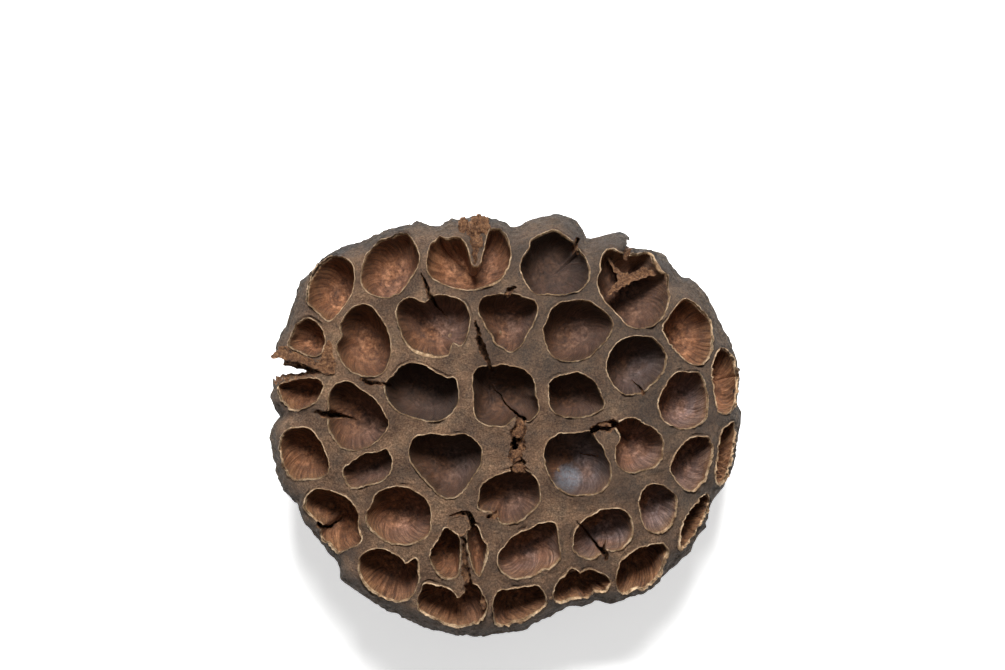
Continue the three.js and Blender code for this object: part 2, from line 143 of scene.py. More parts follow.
# ---------------------------------------------------------------- seed sockets
# Each seed sat in a cup of its own, lined with a thin smooth skin. The lining dried to a crisp,
# wavy lip that stands a little proud of the mouth and has come away from the face in places.
# The outline of each mouth, seen from above:
sockets = {
    "01": [(-37.4, 38), (-34.4, 36.4), (-33.7, 33.6), (-34.2, 30.1), (-35.3, 28), (-37.4, 25.2),
           (-39.5, 23.8), (-41.6, 25.5), (-43.9, 27.9), (-43.9, 31.5), (-42.5, 34.3), (-40.7, 36.7)],
    "02": [(-22.8, 42.9), (-21, 41.6), (-19.9, 39.5), (-19.3, 37.9), (-19.8, 35.5), (-21, 33.6),
           (-22.9, 30.6), (-24.8, 29.4), (-26.9, 28.9), (-29.2, 29.2), (-31.3, 30.6), (-32.3, 32.7),
           (-31.7, 36.9), (-30.6, 38.8), (-29, 40.5), (-26.6, 41.9)],
    "03": [(-14.9, 42.3), (-13.2, 41.8), (-11.4, 42.2), (-9.7, 41.3), (-8.7, 39.7), (-8.2, 37.6),
           (-7.6, 35.8), (-6.3, 35.8), (-5.6, 37.6), (-5, 40.2), (-4.2, 43.3), (-2.9, 44.1), (-0.8, 43),
           (0.3, 40.9), (1, 38.8), (1, 36.7), (0.1, 34.8), (-0.8, 33.2), (-2.5, 32), (-4.8, 31.1),
           (-8.6, 30.6), (-12.8, 31.3), (-15.1, 32.2), (-16.8, 33.4), (-17.7, 35.3), (-17.7, 37.6),
           (-17.2, 40.2), (-16.1, 41.4)],
    "04": [(9.9, 43.7), (11.3, 43.3), (13.4, 42), (15, 40.8), (15.2, 39.7), (16.4, 38.9), (17.6, 37.4),
           (18.2, 34.9), (17.7, 32.4), (15.9, 30.5), (14.8, 30.1), (12, 29.3), (8.7, 29.6), (6.6, 29.5),
           (5, 30.8), (3.6, 33.2), (2.9, 35.5), (3.5, 37.6), (4.8, 39.7), (5.4, 41.4), (7.1, 42.4)],
    "05": [(22.8, 39.6), (24.6, 39.3), (26.5, 38.5), (28.2, 38.2), (31.2, 38.7), (32.5, 37.6), (33.7, 35.4),
           (35.4, 33.9), (35.6, 31.7), (36, 29.2), (35.5, 26.7), (34.5, 24.5), (32.5, 22.9), (29.8, 22.1),
           (27.5, 22.3), (26, 23.4), (24.5, 25), (22.3, 27.2), (20.8, 29.2), (20, 32.2), (20.4, 36.2),
           (21.3, 38.6)],
    "06": [(39.4, 28.5), (41.4, 27.7), (43.1, 26.2), (44.6, 24.5), (45.5, 22.5), (45.6, 19.8), (45.1, 16.9),
           (43.7, 14.4), (41.9, 13.9), (39.7, 14.8), (37.5, 16.8), (35.5, 19.3), (34.3, 22.3), (35.2, 24.3),
           (37, 26.5)],
    "07": [(47.6, 17.7), (49.4, 16.4), (50.6, 14.3), (51.1, 11.4), (51, 7.9), (50.6, 4.9), (49.7, 3.4),
           (48.4, 2.9), (46.8, 3.6), (46.1, 5.9), (45.6, 9.1), (45.4, 12.1), (45.7, 15.1), (46.5, 16.8)],
    "08": [(-32, 27.5), (-30, 26.9), (-28.3, 25.1), (-26.9, 22.9), (-25.9, 20.5), (-25.5, 17.5),
           (-25.9, 15.6), (-26.6, 13.4), (-28.1, 11.9), (-30.4, 11.4), (-32.7, 11.9), (-35.1, 13.2),
           (-36.6, 15.1), (-37.6, 18), (-36.5, 20.3), (-36.8, 22.4), (-35.8, 25), (-34.1, 26.6)],
    "09": [(-24.5, 25.2), (-24.1, 27), (-23, 28.3), (-21.1, 28.9), (-19.6, 28.3), (-17.9, 27.9),
           (-16.5, 29.1), (-14.6, 29.5), (-12.5, 29.2), (-10.2, 28.1), (-8.8, 26.6), (-8.2, 24.8),
           (-8.3, 22.7), (-8.9, 20.6), (-9.5, 18.8), (-10.7, 18.3), (-12, 18.9), (-12.6, 17.3),
           (-13.2, 16.1), (-15.4, 15.7), (-19.3, 16.4), (-21.2, 17.6), (-22.7, 19.8), (-23.8, 22.7)],
    "10": [(-4.8, 29.1), (-2.5, 29.5), (-0.6, 29.7), (1.6, 29.6), (4.1, 28.9), (5.5, 28.6), (6.4, 27.4),
           (6.9, 26.2), (6.4, 24.5), (5.6, 22.7), (4.3, 20.8), (3.4, 18.9), (2.2, 17.6), (0.6, 16.9),
           (-0.8, 17.8), (-2.5, 18.8), (-3.4, 20.5), (-4.8, 22.7), (-6.1, 25.2), (-6.3, 26.9),
           (-5.8, 28.5)],
    "11": [(12, 28), (15.1, 28.3), (18.3, 28), (20.6, 26.6), (22.4, 24.8), (23.4, 23.2), (23, 21.5),
           (21.8, 19.3), (19.8, 17.6), (18, 15.7), (14.1, 14.8), (11.1, 15.3), (9.2, 17), (8.4, 19.1),
           (7.9, 21.5), (8.7, 23.8), (9.4, 25.7), (10.9, 27.3)],
    "12": [(27.5, 20.4), (30, 20.4), (32, 20), (33.9, 18.2), (35.1, 15.6), (34.6, 12.8), (33.2, 10.9),
           (31.2, 9), (30, 8), (28, 7.6), (25.8, 7.6), (24, 9), (22.8, 10.8), (21.9, 13.1), (22.1, 15.3),
           (23.1, 17.5), (25, 19.5)],
    "13": [(38.2, 12.6), (40.2, 12.3), (42.2, 12.3), (43.3, 11.1), (44, 9.1), (44.4, 6.9), (44.4, 4.2),
           (44.1, 2.1), (42.4, 0.8), (40.4, -0.1), (38.4, -0.1), (36.5, 0.6), (34.8, 1.6), (33.7, 3.3),
           (33.3, 4.7), (33.6, 6.9), (34.6, 8.9), (35.8, 10.9), (37, 12.1)],
    "14": [(50.2, 1.4), (49.1, 0.9), (47.8, -0.4), (47.1, -2.3), (46.7, -5.3), (46.3, -8.2), (46.2, -11),
           (46.7, -12.3), (47.9, -12.2), (49, -10.4), (50, -6.5), (50.7, -2.3), (50.8, 0.2)],
    "15": [(-44.3, 24.3), (-42.5, 23.9), (-41, 22.4), (-40.2, 20.5), (-40.2, 18.5), (-41, 16.6),
           (-42.6, 15.8), (-45.6, 16.8), (-48.2, 18.4), (-47.3, 21.2), (-46, 23.2)],
    "16": [(-21, 14.5), (-19.1, 14.3), (-17.3, 13.4), (-15.2, 12.2), (-13, 11.3), (-11.6, 11.4),
           (-10.9, 9.7), (-10.7, 7.4), (-11, 5.3), (-12.4, 3.3), (-14.4, 2), (-17, 1.6), (-20.6, 2.5),
           (-23.6, 3.6), (-25.6, 5.4), (-26.4, 6.9), (-26.9, 8.8), (-26.6, 10.4), (-24.9, 12),
           (-24.1, 13.2), (-22.7, 14.2)],
    "17": [(-5.3, 13.8), (-2.5, 13.8), (-1.3, 14.2), (2.2, 13.6), (3.8, 12.9), (5.4, 11.4), (6.2, 9.3),
           (6.2, 7.4), (6.8, 6.1), (7, 4.2), (5.9, 2.4), (4.5, 1.6), (2.8, 2.6), (1.3, 2.1), (0.1, 1.1),
           (-1.5, 0.5), (-4.4, 0.8), (-6.2, 1.7), (-7.1, 2.9), (-7.3, 5.1), (-7.4, 7.4), (-7.7, 9.7),
           (-7.5, 11.8), (-6.7, 13.2)],
    "18": [(10.8, 11.4), (13.2, 12.1), (15.9, 12.4), (17.8, 11.4), (19.7, 9.8), (20.7, 7.6), (21.5, 5.7),
           (21, 4.4), (19.1, 3.3), (17.1, 2.6), (14.4, 2.4), (12, 2.8), (9.8, 4.2), (9.3, 6.5), (9.1, 8.5),
           (9.3, 10.2)],
    "19": [(-36, 10.5), (-34.4, 10.3), (-32.7, 9.1), (-30.4, 7.6), (-28.5, 5.8), (-27.1, 3.4), (-26.2, 1.5),
           (-26.4, -0.1), (-27.6, -1.6), (-29.4, -3.3), (-32, -4.5), (-34.6, -4.7), (-36.5, -4.1),
           (-38.1, -2.4), (-39.2, -0.3), (-39.4, 1.5), (-39.6, 3.2), (-39.3, 4.6), (-39.4, 6.5), (-39, 8.3),
           (-37.8, 9.8)],
    "20": [(-49.6, 10), (-46.3, 11), (-43.4, 11.2), (-41.4, 10.9), (-40.4, 9.8), (-40.6, 8.6), (-41.4, 6.9),
           (-42.7, 5.6), (-44.4, 4.7), (-46.1, 4.1), (-47.5, 4.2), (-48.9, 5.4), (-50.2, 7.2),
           (-50.8, 9.1)],
    "21": [(-45.8, 0.3), (-44, 0.1), (-42.4, -1), (-41, -3.1), (-40, -5.2), (-39.5, -6.9), (-39.3, -8.7),
           (-40, -10.3), (-42.1, -11.1), (-44.4, -11.3), (-46.7, -11.4), (-48.2, -10.4), (-49.5, -8.3),
           (-50.1, -5.7), (-50.2, -2.9), (-49.4, -1.1), (-47.7, -0.1)],
    "22": [(-26.7, -4.4), (-25.7, -5.6), (-25.3, -6.6), (-25.4, -8.5), (-26.3, -10.4), (-28.1, -11.9),
           (-30.4, -12.4), (-33.2, -13.1), (-34.5, -13), (-35.3, -12), (-36.1, -10.1), (-36.1, -8.7),
           (-34.6, -7.4), (-32.3, -5.9), (-30.4, -5.1), (-28.5, -5)],
    "23": [(-20.3, -1.7), (-18.6, -1.4), (-17, -1), (-14.6, -1.3), (-11.6, -1.4), (-9.3, -1), (-7.7, -2.1),
           (-6.2, -3.4), (-5.5, -4.8), (-5.7, -6.9), (-6.4, -8.8), (-7.9, -11), (-9.5, -13.5),
           (-11.4, -15.1), (-13.2, -15.3), (-15, -14.6), (-17.1, -12.4), (-19.2, -10.1), (-21.2, -7.1),
           (-21.6, -5.2), (-21.4, -3.6)],
    "24": [(11.3, -1.1), (13.9, -0.9), (17.2, -0.6), (18.9, -0.5), (19.3, -1.7), (20.1, -2.8), (21.2, -4),
           (21.7, -5.8), (22.8, -8.2), (22.9, -11), (21.9, -12.8), (20.1, -14.2), (17.6, -14.6),
           (15.1, -14.8), (13.4, -14.4), (11.1, -12.9), (9.3, -10.4), (8.2, -7.3), (8.1, -5), (8.9, -2.8)],
    "25": [(27, 2.4), (29, 2.1), (30.2, 1), (32.2, 0.2), (33.8, -1.4), (34.5, -3), (34.4, -5.5),
           (33.7, -7.4), (32.5, -8.5), (30, -9.2), (28, -9.8), (25.8, -9.3), (24.5, -8.1), (23.9, -6.3),
           (24, -4), (25, -1.8), (24, -0.2), (23.5, 0.8), (25.2, 1.9)],
    "26": [(42.9, -1.8), (44.4, -2), (45.4, -3.5), (45.6, -5.3), (44.9, -8), (44.3, -10.6), (43.2, -12.2),
           (41.7, -13.7), (40.3, -14), (38.4, -12.7), (36.7, -10.6), (36, -8.7), (36.7, -6.4), (37.9, -4.5),
           (39.6, -2.8), (41.2, -1.8)],
    "27": [(44.5, -14.6), (43.4, -15), (42.4, -16.1), (40.4, -18.5), (39.2, -20.5), (38.5, -22.7),
           (38.1, -25.2), (38.1, -26.6), (38.7, -27), (39.7, -26.4), (41.1, -24.8), (42.9, -21.9),
           (44.3, -18.9), (44.9, -16.2)],
    "28": [(32.2, -12.2), (34.4, -12.6), (36, -13.7), (37.2, -15.1), (37.5, -16.8), (37.3, -19),
           (36.4, -21), (34.9, -22.6), (33, -23.2), (31.1, -22.5), (30, -20.9), (29.5, -18.8),
           (29.1, -16.5), (29.5, -14.4), (30.6, -12.9)],
    "29": [(24, -17.5), (25.7, -17.9), (27.1, -19.4), (27.7, -21.2), (27.7, -23.5), (26.8, -25.3),
           (25.3, -26.8), (23.3, -27.1), (21.8, -27.1), (20.4, -27.8), (18.6, -29), (16.7, -28.4),
           (15.3, -27.5), (14.6, -26.4), (14.7, -24.2), (15.3, -22), (17.1, -20), (18.8, -19),
           (20.6, -17.9), (22.3, -17.7)],
    "30": [(34.5, -25.6), (35.8, -27.1), (35.4, -28.7), (34.7, -30.8), (33.7, -32.7), (32.2, -34.4),
           (30.4, -35.9), (28.9, -35.6), (27.8, -35.8), (26.7, -36.6), (25.5, -36.7), (24.6, -35.8),
           (24.1, -33.6), (24.5, -31.4), (25.2, -29.4), (27.1, -27.6), (29, -26.5), (31.2, -25.9),
           (33.3, -25.5)],
    "31": [(-0.7, -9.6), (-3, -10.5), (-5.6, -12.4), (-6.3, -15), (-6.5, -17.4), (-5.2, -18.2),
           (-3.6, -18.2), (-2.2, -19.6), (-1.4, -20.9), (0.3, -21), (3.1, -20.3), (4.4, -19.1),
           (6.1, -17.6), (7.3, -15.8), (7.1, -13), (6.4, -10.8), (4.7, -9.6), (3, -9), (1, -9.2)],
    "32": [(-41.4, -13.3), (-39.7, -13.5), (-37.4, -14.2), (-35.4, -15), (-34, -16.6), (-32.8, -18.8),
           (-32.8, -21.9), (-32.1, -23), (-32, -24.7), (-33.2, -26), (-34.6, -26.4), (-37, -27.6),
           (-38.4, -26.7), (-39.3, -25.5), (-40.5, -25), (-41.3, -22.8), (-40.8, -21.3), (-42.4, -20.3),
           (-44, -18.7), (-44.7, -17.3), (-44.5, -15.8), (-44.1, -14.7), (-43.1, -13.6)],
    "33": [(-23.6, -12.6), (-21.5, -13.1), (-19.7, -14.1), (-17.8, -15.6), (-16.8, -18.3), (-16.9, -20.2),
           (-16.8, -21.6), (-17.5, -23.5), (-19.4, -24.9), (-21, -25.4), (-24.1, -25.6), (-26.8, -24.8),
           (-28.8, -23.4), (-30.3, -22.1), (-31, -20.2), (-30.9, -18.6), (-29.7, -16.3), (-29, -14.6),
           (-27.2, -13.3), (-25.2, -12.8)],
    "34": [(-28.3, -26.5), (-26.4, -26.7), (-24.8, -27.7), (-23.3, -28.6), (-22.3, -29.6), (-21.3, -29.1),
           (-20.2, -28.5), (-19.4, -29.4), (-19.5, -31.0), (-19.4, -33.6), (-20.0, -35.6), (-21.4, -37.5),
           (-23.6, -38.4), (-25.7, -38.2), (-28, -37.2), (-29.6, -36.3), (-31.3, -34.5), (-32.6, -32.3),
           (-32.8, -30), (-32.3, -28.1), (-30.7, -26.9)],
    "35": [(-13.6, -21.8), (-11.7, -22.8), (-10.5, -23.8), (-10.3, -27), (-10.6, -31), (-10.9, -32.4),
           (-12.3, -33.3), (-14.1, -33), (-16, -31), (-17, -28.7), (-16.6, -26.5), (-15.2, -24.4)],
    "36": [(10.1, -20.4), (11.1, -21.5), (11.4, -24.7), (11.8, -27.5), (11.6, -28.8), (9.9, -30.7),
           (7.6, -31.5), (5.5, -32.7), (3.1, -33.2), (1.1, -33.1), (-0.7, -32), (-1.8, -30.7),
           (-2.2, -28.9), (-1.8, -27.1), (-0.5, -25.8), (0.7, -24.2), (2.8, -22.8), (5.2, -21.9),
           (7.3, -20.8)],
    "37": [(-18.7, -34.5), (-17.5, -34), (-15.1, -34.7), (-12.7, -35.3), (-11.5, -36.6), (-10.9, -37.3),
           (-9.6, -36.4), (-8.4, -34.4), (-6.9, -34.3), (-6.2, -35), (-5.4, -36.9), (-4.4, -38.7),
           (-4.6, -40.6), (-5.7, -42.3), (-7.6, -43.4), (-10.4, -44), (-13, -43.6), (-15.8, -42.4),
           (-18.2, -41.1), (-19.6, -39.9), (-19.9, -37.8), (-19.3, -36.3)],
    "38": [(-1.7, -35.7), (0.1, -35.5), (2.9, -35.1), (5.4, -34.7), (6.9, -35), (7.9, -36.1), (8.6, -38),
           (7.9, -39.8), (6.2, -41.1), (3.1, -42.6), (1.3, -43), (-0.1, -43.8), (-1.9, -43.7),
           (-2.9, -42.8), (-3.1, -40.8), (-3.3, -38.9), (-2.7, -37)],
    "39": [(13.9, -30.9), (13, -32.2), (11.4, -33.7), (10.2, -36.1), (10.3, -37.9), (11.1, -38.7),
           (12.7, -38.6), (14.3, -37.7), (16.2, -37.8), (17.8, -37.7), (19.7, -36), (21.6, -36.2),
           (22.9, -34.5), (22.5, -33), (20.5, -31.8), (18.1, -30.9), (16.4, -31.8), (15.1, -31.2)],
    "40": [(-8.4, -21.2), (-6.6, -21.4), (-5.6, -23.8), (-4.2, -26.3), (-4.6, -29), (-5.5, -31.4),
           (-5.9, -32.4), (-6.6, -32.6), (-7.6, -30.5), (-8.6, -26.8), (-8.9, -23.7)],
}
# How deep a cup goes where it is shallower than the usual one, in millimetres.
usual_depth = 13.6
socket_depth = {"06": 12, "07": 8, "14": 7, "15": 9, "20": 9, "21": 11, "22": 9, "25": 12, "26": 11,
                "27": 8, "28": 10, "29": 11.5, "30": 9.5, "31": 12.5, "32": 10, "33": 12.5, "34": 11,
                "35": 11, "36": 9.5, "37": 9.5, "38": 8, "39": 7, "40": 9}
# How strongly a lining is folded, where it isn't as little as usual.
usual_fold = 0.4
folds = {"03": 1.6, "04": 2.2, "05": 1.6, "02": 1.2, "39": 4.0, "27": 1.3, "29": 1.4, "30": 1.5,
         "32": 1.8, "35": 1.4, "37": 1.6, "38": 1.3}
# How much lilac grey each lining shows, partly its own colour and partly a painted sheen; the rest is
# mahogany brown.
lilac = {"02": 0.2, "03": 0.1, "04": 0.35, "05": 0.2, "09": 0.5, "10": 0.35, "11": 0.3, "12": 0.9,
         "13": 0.8, "16": 0.4, "18": 0.4, "19": 0.3, "22": 0.4, "23": 0.6, "24": 1.0, "25": 0.5,
         "26": 0.6, "28": 0.9, "29": 0.9, "31": 0.35, "33": 0.3, "34": 0.15, "36": 0.6, "37": 0.1,
         "38": 0.05}
# Cups whose linings are painted darker all over: painted shade in these hollows.
painted_cup_shade = {"04": 0.78, "05": 0.5, "08": 0.2, "09": 0.25, "10": 0.4, "11": 0.55, "12": 0.6, "16": 0.78,
        "17": 0.7, "18": 0.55, "19": 0.3, "22": 0.35, "23": 0.6, "24": 0.4, "31": 0.3}
# Stretches where the lip is broad and pale: plan place, how far it runs, how much broader.
broad_lips = {"09": (-18.4, 17.0, 3.6, 0.6), "03": (-3.4, 31.6, 2.6, 0.4),
              "10": (-3.4, 20.4, 2.0, 0.25), "34": (-19.4, -31.5, 2.0, 0.3),
              "40": (-5.0, -28.0, 2.5, 0.35), "05": (33.6, 36.0, 2.0, 0.4), "25": (24.4, 0.4, 1.6, 0.4),
              "30": (34.9, -29.5, 2.0, 0.3)}
bloom_place = (13.6, -11.2)  # a patch of grey bloom in one cup
bloom_reach = 3.3
steps_round = 80

# The mouths are kept apart, so that a wall of tissue is left between any two sockets.
mouths = {name: smooth_loop(points, steps_round) for name, points in sockets.items()}
for name, loop in mouths.items():
    shoelace = np.sum(loop[:, 0] * np.roll(loop[:, 1], -1) - loop[:, 1] * np.roll(loop[:, 0], -1))
    if shoelace < 0:
        mouths[name] = loop[::-1].copy()


def gaps_to_others(loops):
    """For each point of each loop, how far the nearest point of another loop is, and where."""
    tree = kdtree.KDTree(sum(len(loop) for loop in loops.values()))
    owners = []
    for name, loop in loops.items():
        for x, y in loop:
            tree.insert((x, y, 0), len(owners))
            owners.append(name)
    tree.balance()
    found = {}
    for name, loop in loops.items():
        rows = []
        for x, y in loop:
            near = next(hit for hit in tree.find_n((x, y, 0), 90) if owners[hit[1]] != name)
            rows.append((near[2], near[0].x, near[0].y))
        found[name] = np.array(rows)
    return found


least_wall = 1.0
for _ in range(4):
    gaps = gaps_to_others(mouths)
    for name, loop in mouths.items():
        away = loop - gaps[name][:, 1:]
        distance = np.maximum(gaps[name][:, :1], 0.05)
        short = np.maximum(0, least_wall - distance)
        loop += away / distance * short * 0.5
gaps = gaps_to_others(mouths)

cup_rings = 12
lip_width = 0.15


def outward_normals(loop):
    ahead, behind = np.roll(loop, -1, 0), np.roll(loop, 1, 0)
    along = ahead - behind
    normal = np.column_stack([along[:, 1], -along[:, 0]])
    return normal / np.linalg.norm(normal, axis=1)[:, None]


def collar(distance):
    """How far the face swells up towards a mouth."""
    return 0.55 * np.exp(-((np.asarray(distance) / 1.3) ** 2))


def socket_rings(name):
    """The rings of one socket, from the face in to the bottom, with what each point is made of."""
    loop = mouths[name]
    seed = float(name) * 7.3
    turn = np.linspace(0, 2 * math.pi, steps_round, endpoint=False)
    circle = np.column_stack([np.cos(turn), np.sin(turn), np.zeros(steps_round)])
    out = outward_normals(loop)
    ragged = 0.15 * waver(circle * 8, 1.4, seed, 3) + 0.13 * waver(circle * 8, 0.5, seed + 1, 1)
    loop = loop + out * ragged[:, None]
    share = polar(*loop.T)[1]
    to_rim = (1 - share) * rim_distance(polar(*loop.T)[0])
    across = np.hypot(*(loop[:, None] - loop[None]).transpose(2, 0, 1))
    apart = np.abs(np.subtract.outer(np.arange(steps_round), np.arange(steps_round)))
    across[np.minimum(apart, steps_round - apart) < 7] = 9
    room = np.minimum(0.33 * np.minimum(gaps[name][:, 0], across.min(1)), 0.5 * to_rim)
    reach = np.clip(room, 0.06, 0.8)
    edge = np.roll(loop, -1, 0) - loop
    for _ in range(12):  # less reach in a sharp nook, where the ring would cross itself
        widened = loop + out * reach[:, None]
        kept = ((np.roll(widened, -1, 0) - widened) * edge).sum(1) / (edge**2).sum(1)
        tight = kept < 0.35
        reach[tight | np.roll(tight, 1)] *= 0.7
    peel = np.clip(waver(circle * 8, 5.0, seed + 3, 2) * 1.6 + 0.1, 0, 1)
    lip = 0.26 + 0.45 * waver(circle * 8, 1.1, seed + 5, 3) + 0.3 * peel
    lip = np.clip(lip, 0.0, 1.0)
    rings = []

    def add(out_by, lift, rim, depth):
        points, normal = on_face(loop + out * np.reshape(out_by, (-1, 1)), lift)
        rings.append((points, rim, depth))
        return points, normal

    add(reach, collar(reach), 0, 0)
    add(reach * 0.55, collar(reach * 0.55) - 0.12 - 0.7 * peel, 0, 0.02)
    add(reach * 0.28, collar(reach * 0.28) - 0.12 - 0.65 * peel, 0.1, 0.02)
    thin = lip_width * (0.75 + 0.6 * waver(circle * 8, 1.0, seed + 8, 2))
    if name in broad_lips:
        broad_x, broad_y, run, extra = broad_lips[name]
        thin = thin + extra * np.exp(-((loop[:, 0] - broad_x) ** 2 + (loop[:, 1] - broad_y) ** 2) / run**2)
    add(reach * 0.13, 0.4 + lip * 0.75, 0.85, 0)
    add(reach * 0.05 - thin * 0.5, 0.4 + lip, 1, 0)
    mouth, normal = add(-thin, 0.2 + lip * 0.3, 0.85, 0.02)
    middle = mouth.mean(0)
    axis = normal.mean(0)
    axis = axis / np.linalg.norm(axis) * 0.4 + np.array([0, 0, 0.6])
    axis /= np.linalg.norm(axis)
    deep = socket_depth.get(name, usual_depth)
    lean = mouth - middle
    spoke = lean - np.outer(lean @ axis, axis)
    spoke /= np.linalg.norm(spoke, axis=1)[:, None]
    for ring in range(1, cup_rings + 1):
        share_down = math.sin(0.5 * math.pi * ring / (cup_rings + 0.3))
        width = (1 - share_down**2.2) ** (1 / 2.0)
        points = middle + lean * width - axis * deep * share_down
        strand = circle * 6 + np.array([0, 0, share_down * 3 + seed])
        dent = 0.5 * waver(strand, 5, seed, 2) * width
        streak = waver(circle * 8 + np.array([0, 0, share_down * 1.1 + seed]), 1.5, seed, 2)
        fold = folds.get(name, usual_fold) * 0.28 * streak * min(1, share_down * 3)
        fold = fold * width * (1 - share_down**4)
        points = points + spoke * (dent * min(1, share_down * 2.5) + fold)[:, None]
        rings.append((points, 0.12 if ring == 1 else 0, share_down))
    return rings, circle, seed, loop + out * reach[:, None]


def colour_layers(mesh):
    """The layers that say what each point of the head is: lip, wall, skin, depth, lilac and painted shade.
    """
    floats = {key: mesh.verts.layers.float.get(key) or mesh.verts.layers.float.new(key)
              for key in ("rim", "depth", "wall", "skin", "lilac", "painted_cup_shade")}
    strand = mesh.verts.layers.float_vector.get("strand") or mesh.verts.layers.float_vector.new("strand")
    return floats, strand


pieces_of_head = []
hole_rings = {}
hole_plans = {}
for name in sockets:
    rings, circle, seed, hole_plans[name] = socket_rings(name)
    hole_rings[name] = rings[0][0]
    bpy.ops.mesh.primitive_circle_add(vertices=steps_round, radius=1, fill_type="NOTHING")
    cup = bpy.context.object
    cup.name = "socket_" + name
    bpy.ops.object.mode_set(mode="EDIT")
    bpy.ops.mesh.select_all(action="SELECT")
    for number, (points, rim, depth) in enumerate(rings):
        if number:
            bpy.ops.mesh.extrude_edges_move()
        mesh = bmesh.from_edit_mesh(cup.data)
        place = mesh.verts.layers.int.get("place") or mesh.verts.layers.int.new("place")
        floats, strand = colour_layers(mesh)
        ring = [vert for vert in mesh.verts if vert.select]
        if number == 0:
            for vert in ring:
                turned = math.atan2(vert.co.y, vert.co.x) / (2 * math.pi)
                vert[place] = round(turned * steps_round) % steps_round
        for vert in ring:
            i = vert[place]
            vert.co = points[i]
            vert[floats["rim"]] = rim
            vert[floats["depth"]] = depth
            vert[floats["wall"]] = 1 if number >= 5 else 0
            turned = 2 * math.pi * i / steps_round + 0.9 * math.sin(seed) * depth
            vert[strand] = (7 * math.cos(turned), 7 * math.sin(turned), depth * 1.2 + seed)
            # The lilac lies mostly on each cup's lower-left wall, the side the light falls on: painted
            # sheen there.
            lower_left = -0.55 * circle[i][0] - 0.83 * circle[i][1]
            lilac_with_sheen = min(1, max(0, 0.55 + 0.6 * lower_left)) * min(1, depth * 4)
            vert[floats["lilac"]] = lilac.get(name, 0.0) * lilac_with_sheen
            # The whole cup gets its share of painted shade.
            vert[floats["painted_cup_shade"]] = painted_cup_shade.get(name, 0.0)
            bloom = math.hypot(vert.co.x - bloom_place[0], vert.co.y - bloom_place[1])
            if name == "24" and number > 5 and bloom < bloom_reach:
                vert[floats["lilac"]] = 1.2 + 0.8 * min(1, 2 - 2 * bloom / bloom_reach)
        bmesh.update_edit_mesh(cup.data)
    bpy.ops.mesh.edge_face_add()
    bpy.ops.mesh.poke()
    bpy.ops.object.mode_set(mode="OBJECT")
    pieces_of_head.append(cup)

# ---------------------------------------------------------------- the face between the sockets
# The leathery skin over the dome, stretched between the mouths and swelling up to each of them. It
# is one sheet, laid out flat round the crown, with a hole for every socket.
rim_steps = 300
sheet_spacing = 0.6


def flat_layout(xy):
    """Plan points laid out flat, so that even steps there are even steps over the dome."""
    angle, share = polar(*np.asarray(xy).T)
    along = np.arcsin(np.minimum(share, 1) ** (dome_exponent / 2)) * 2 / math.pi
    reach = along * rim_distance(angle) * 1.2
    return np.column_stack([reach * np.cos(angle), reach * np.sin(angle)])


def from_flat(flat):
    angle = np.arctan2(flat[:, 1], flat[:, 0])
    along = np.hypot(*flat.T) / (rim_distance(angle) * 1.2)
    share = np.sin(np.minimum(along, 1) * math.pi / 2) ** (2 / dome_exponent)
    reach = share * rim_distance(angle)
    return np.column_stack([crown[0] + reach * np.cos(angle), crown[1] + reach * np.sin(angle)])


def inside(points, loop):
    """Which of the points lie inside a closed loop."""
    x, y = points[:, :1], points[:, 1:]
    x1, y1 = loop[:, 0], loop[:, 1]
    x2, y2 = np.roll(x1, -1), np.roll(y1, -1)
    crosses = ((y1 > y) != (y2 > y)) & (x < (x2 - x1) * (y - y1) / (y2 - y1 + 1e-12) + x1)
    return crosses.sum(1) % 2 == 1


edge_share = 0.9995
rim_turns = np.linspace(-math.pi, math.pi, rim_steps, endpoint=False)
rim_loop = np.column_stack([crown[0] + edge_share * rim_distance(rim_turns) * np.cos(rim_turns),
                            crown[1] + edge_share * rim_distance(rim_turns) * np.sin(rim_turns)])
rim_flat = flat_layout(rim_loop)
hole_flats = {name: flat_layout(plan) for name, plan in hole_plans.items()}
widest = np.abs(rim_flat).max()
rows = np.arange(-widest, widest, sheet_spacing * 0.87)
scatter = np.array([(x + (0.5 * sheet_spacing if i % 2 else 0), y) for i, y in enumerate(rows)
                    for x in np.arange(-widest, widest, sheet_spacing)])
scatter += np.random.default_rng(4).uniform(-0.13, 0.13, scatter.shape)
keep = inside(scatter, rim_flat)
border = kdtree.KDTree(rim_steps + steps_round * len(sockets))
for index, (x, y) in enumerate(np.vstack([rim_flat, *hole_flats.values()])):
    border.insert((x, y, 0), index)
border.balance()
for plan in hole_flats.values():
    keep &= ~inside(scatter, plan)
scatter = scatter[keep]
scatter = np.array([p for p in scatter if border.find((p[0], p[1], 0))[2] > sheet_spacing * 0.6])

corners = [rim_flat, *hole_flats.values(), scatter]
flat_points = np.vstack(corners)
edges = []
start = 0
for loop in corners[:-1]:
    count = len(loop)
    edges += [(start + i, start + (i + 1) % count) for i in range(count)]
    start += count
found = delaunay_2d_cdt([Vector(p) for p in flat_points], edges, [], 0, 1e-7)
triangles = np.array(found[2])
sources = [source[0] if source else -1 for source in found[3]]
flat_points = np.array([tuple(p) for p in found[0]])
centres = flat_points[triangles].mean(1)
solid = inside(centres, rim_flat)
for plan in hole_flats.values():
    solid &= ~inside(centres, plan)
triangles = triangles[solid]
used = np.unique(triangles)
renumber = np.full(len(flat_points), -1)
renumber[used] = np.arange(len(used))
plan_points = from_flat(flat_points[used])
mouth_tree = kdtree.KDTree(steps_round * len(sockets))
for index, (x, y) in enumerate(np.vstack(list(mouths.values()))):
    mouth_tree.insert((x, y, 0), index)
mouth_tree.balance()
to_mouth = np.array([mouth_tree.find((x, y, 0))[2] for x, y in plan_points])
short_of_rim = np.clip((1 - polar(*plan_points.T)[1]) * 40, 0, 1)
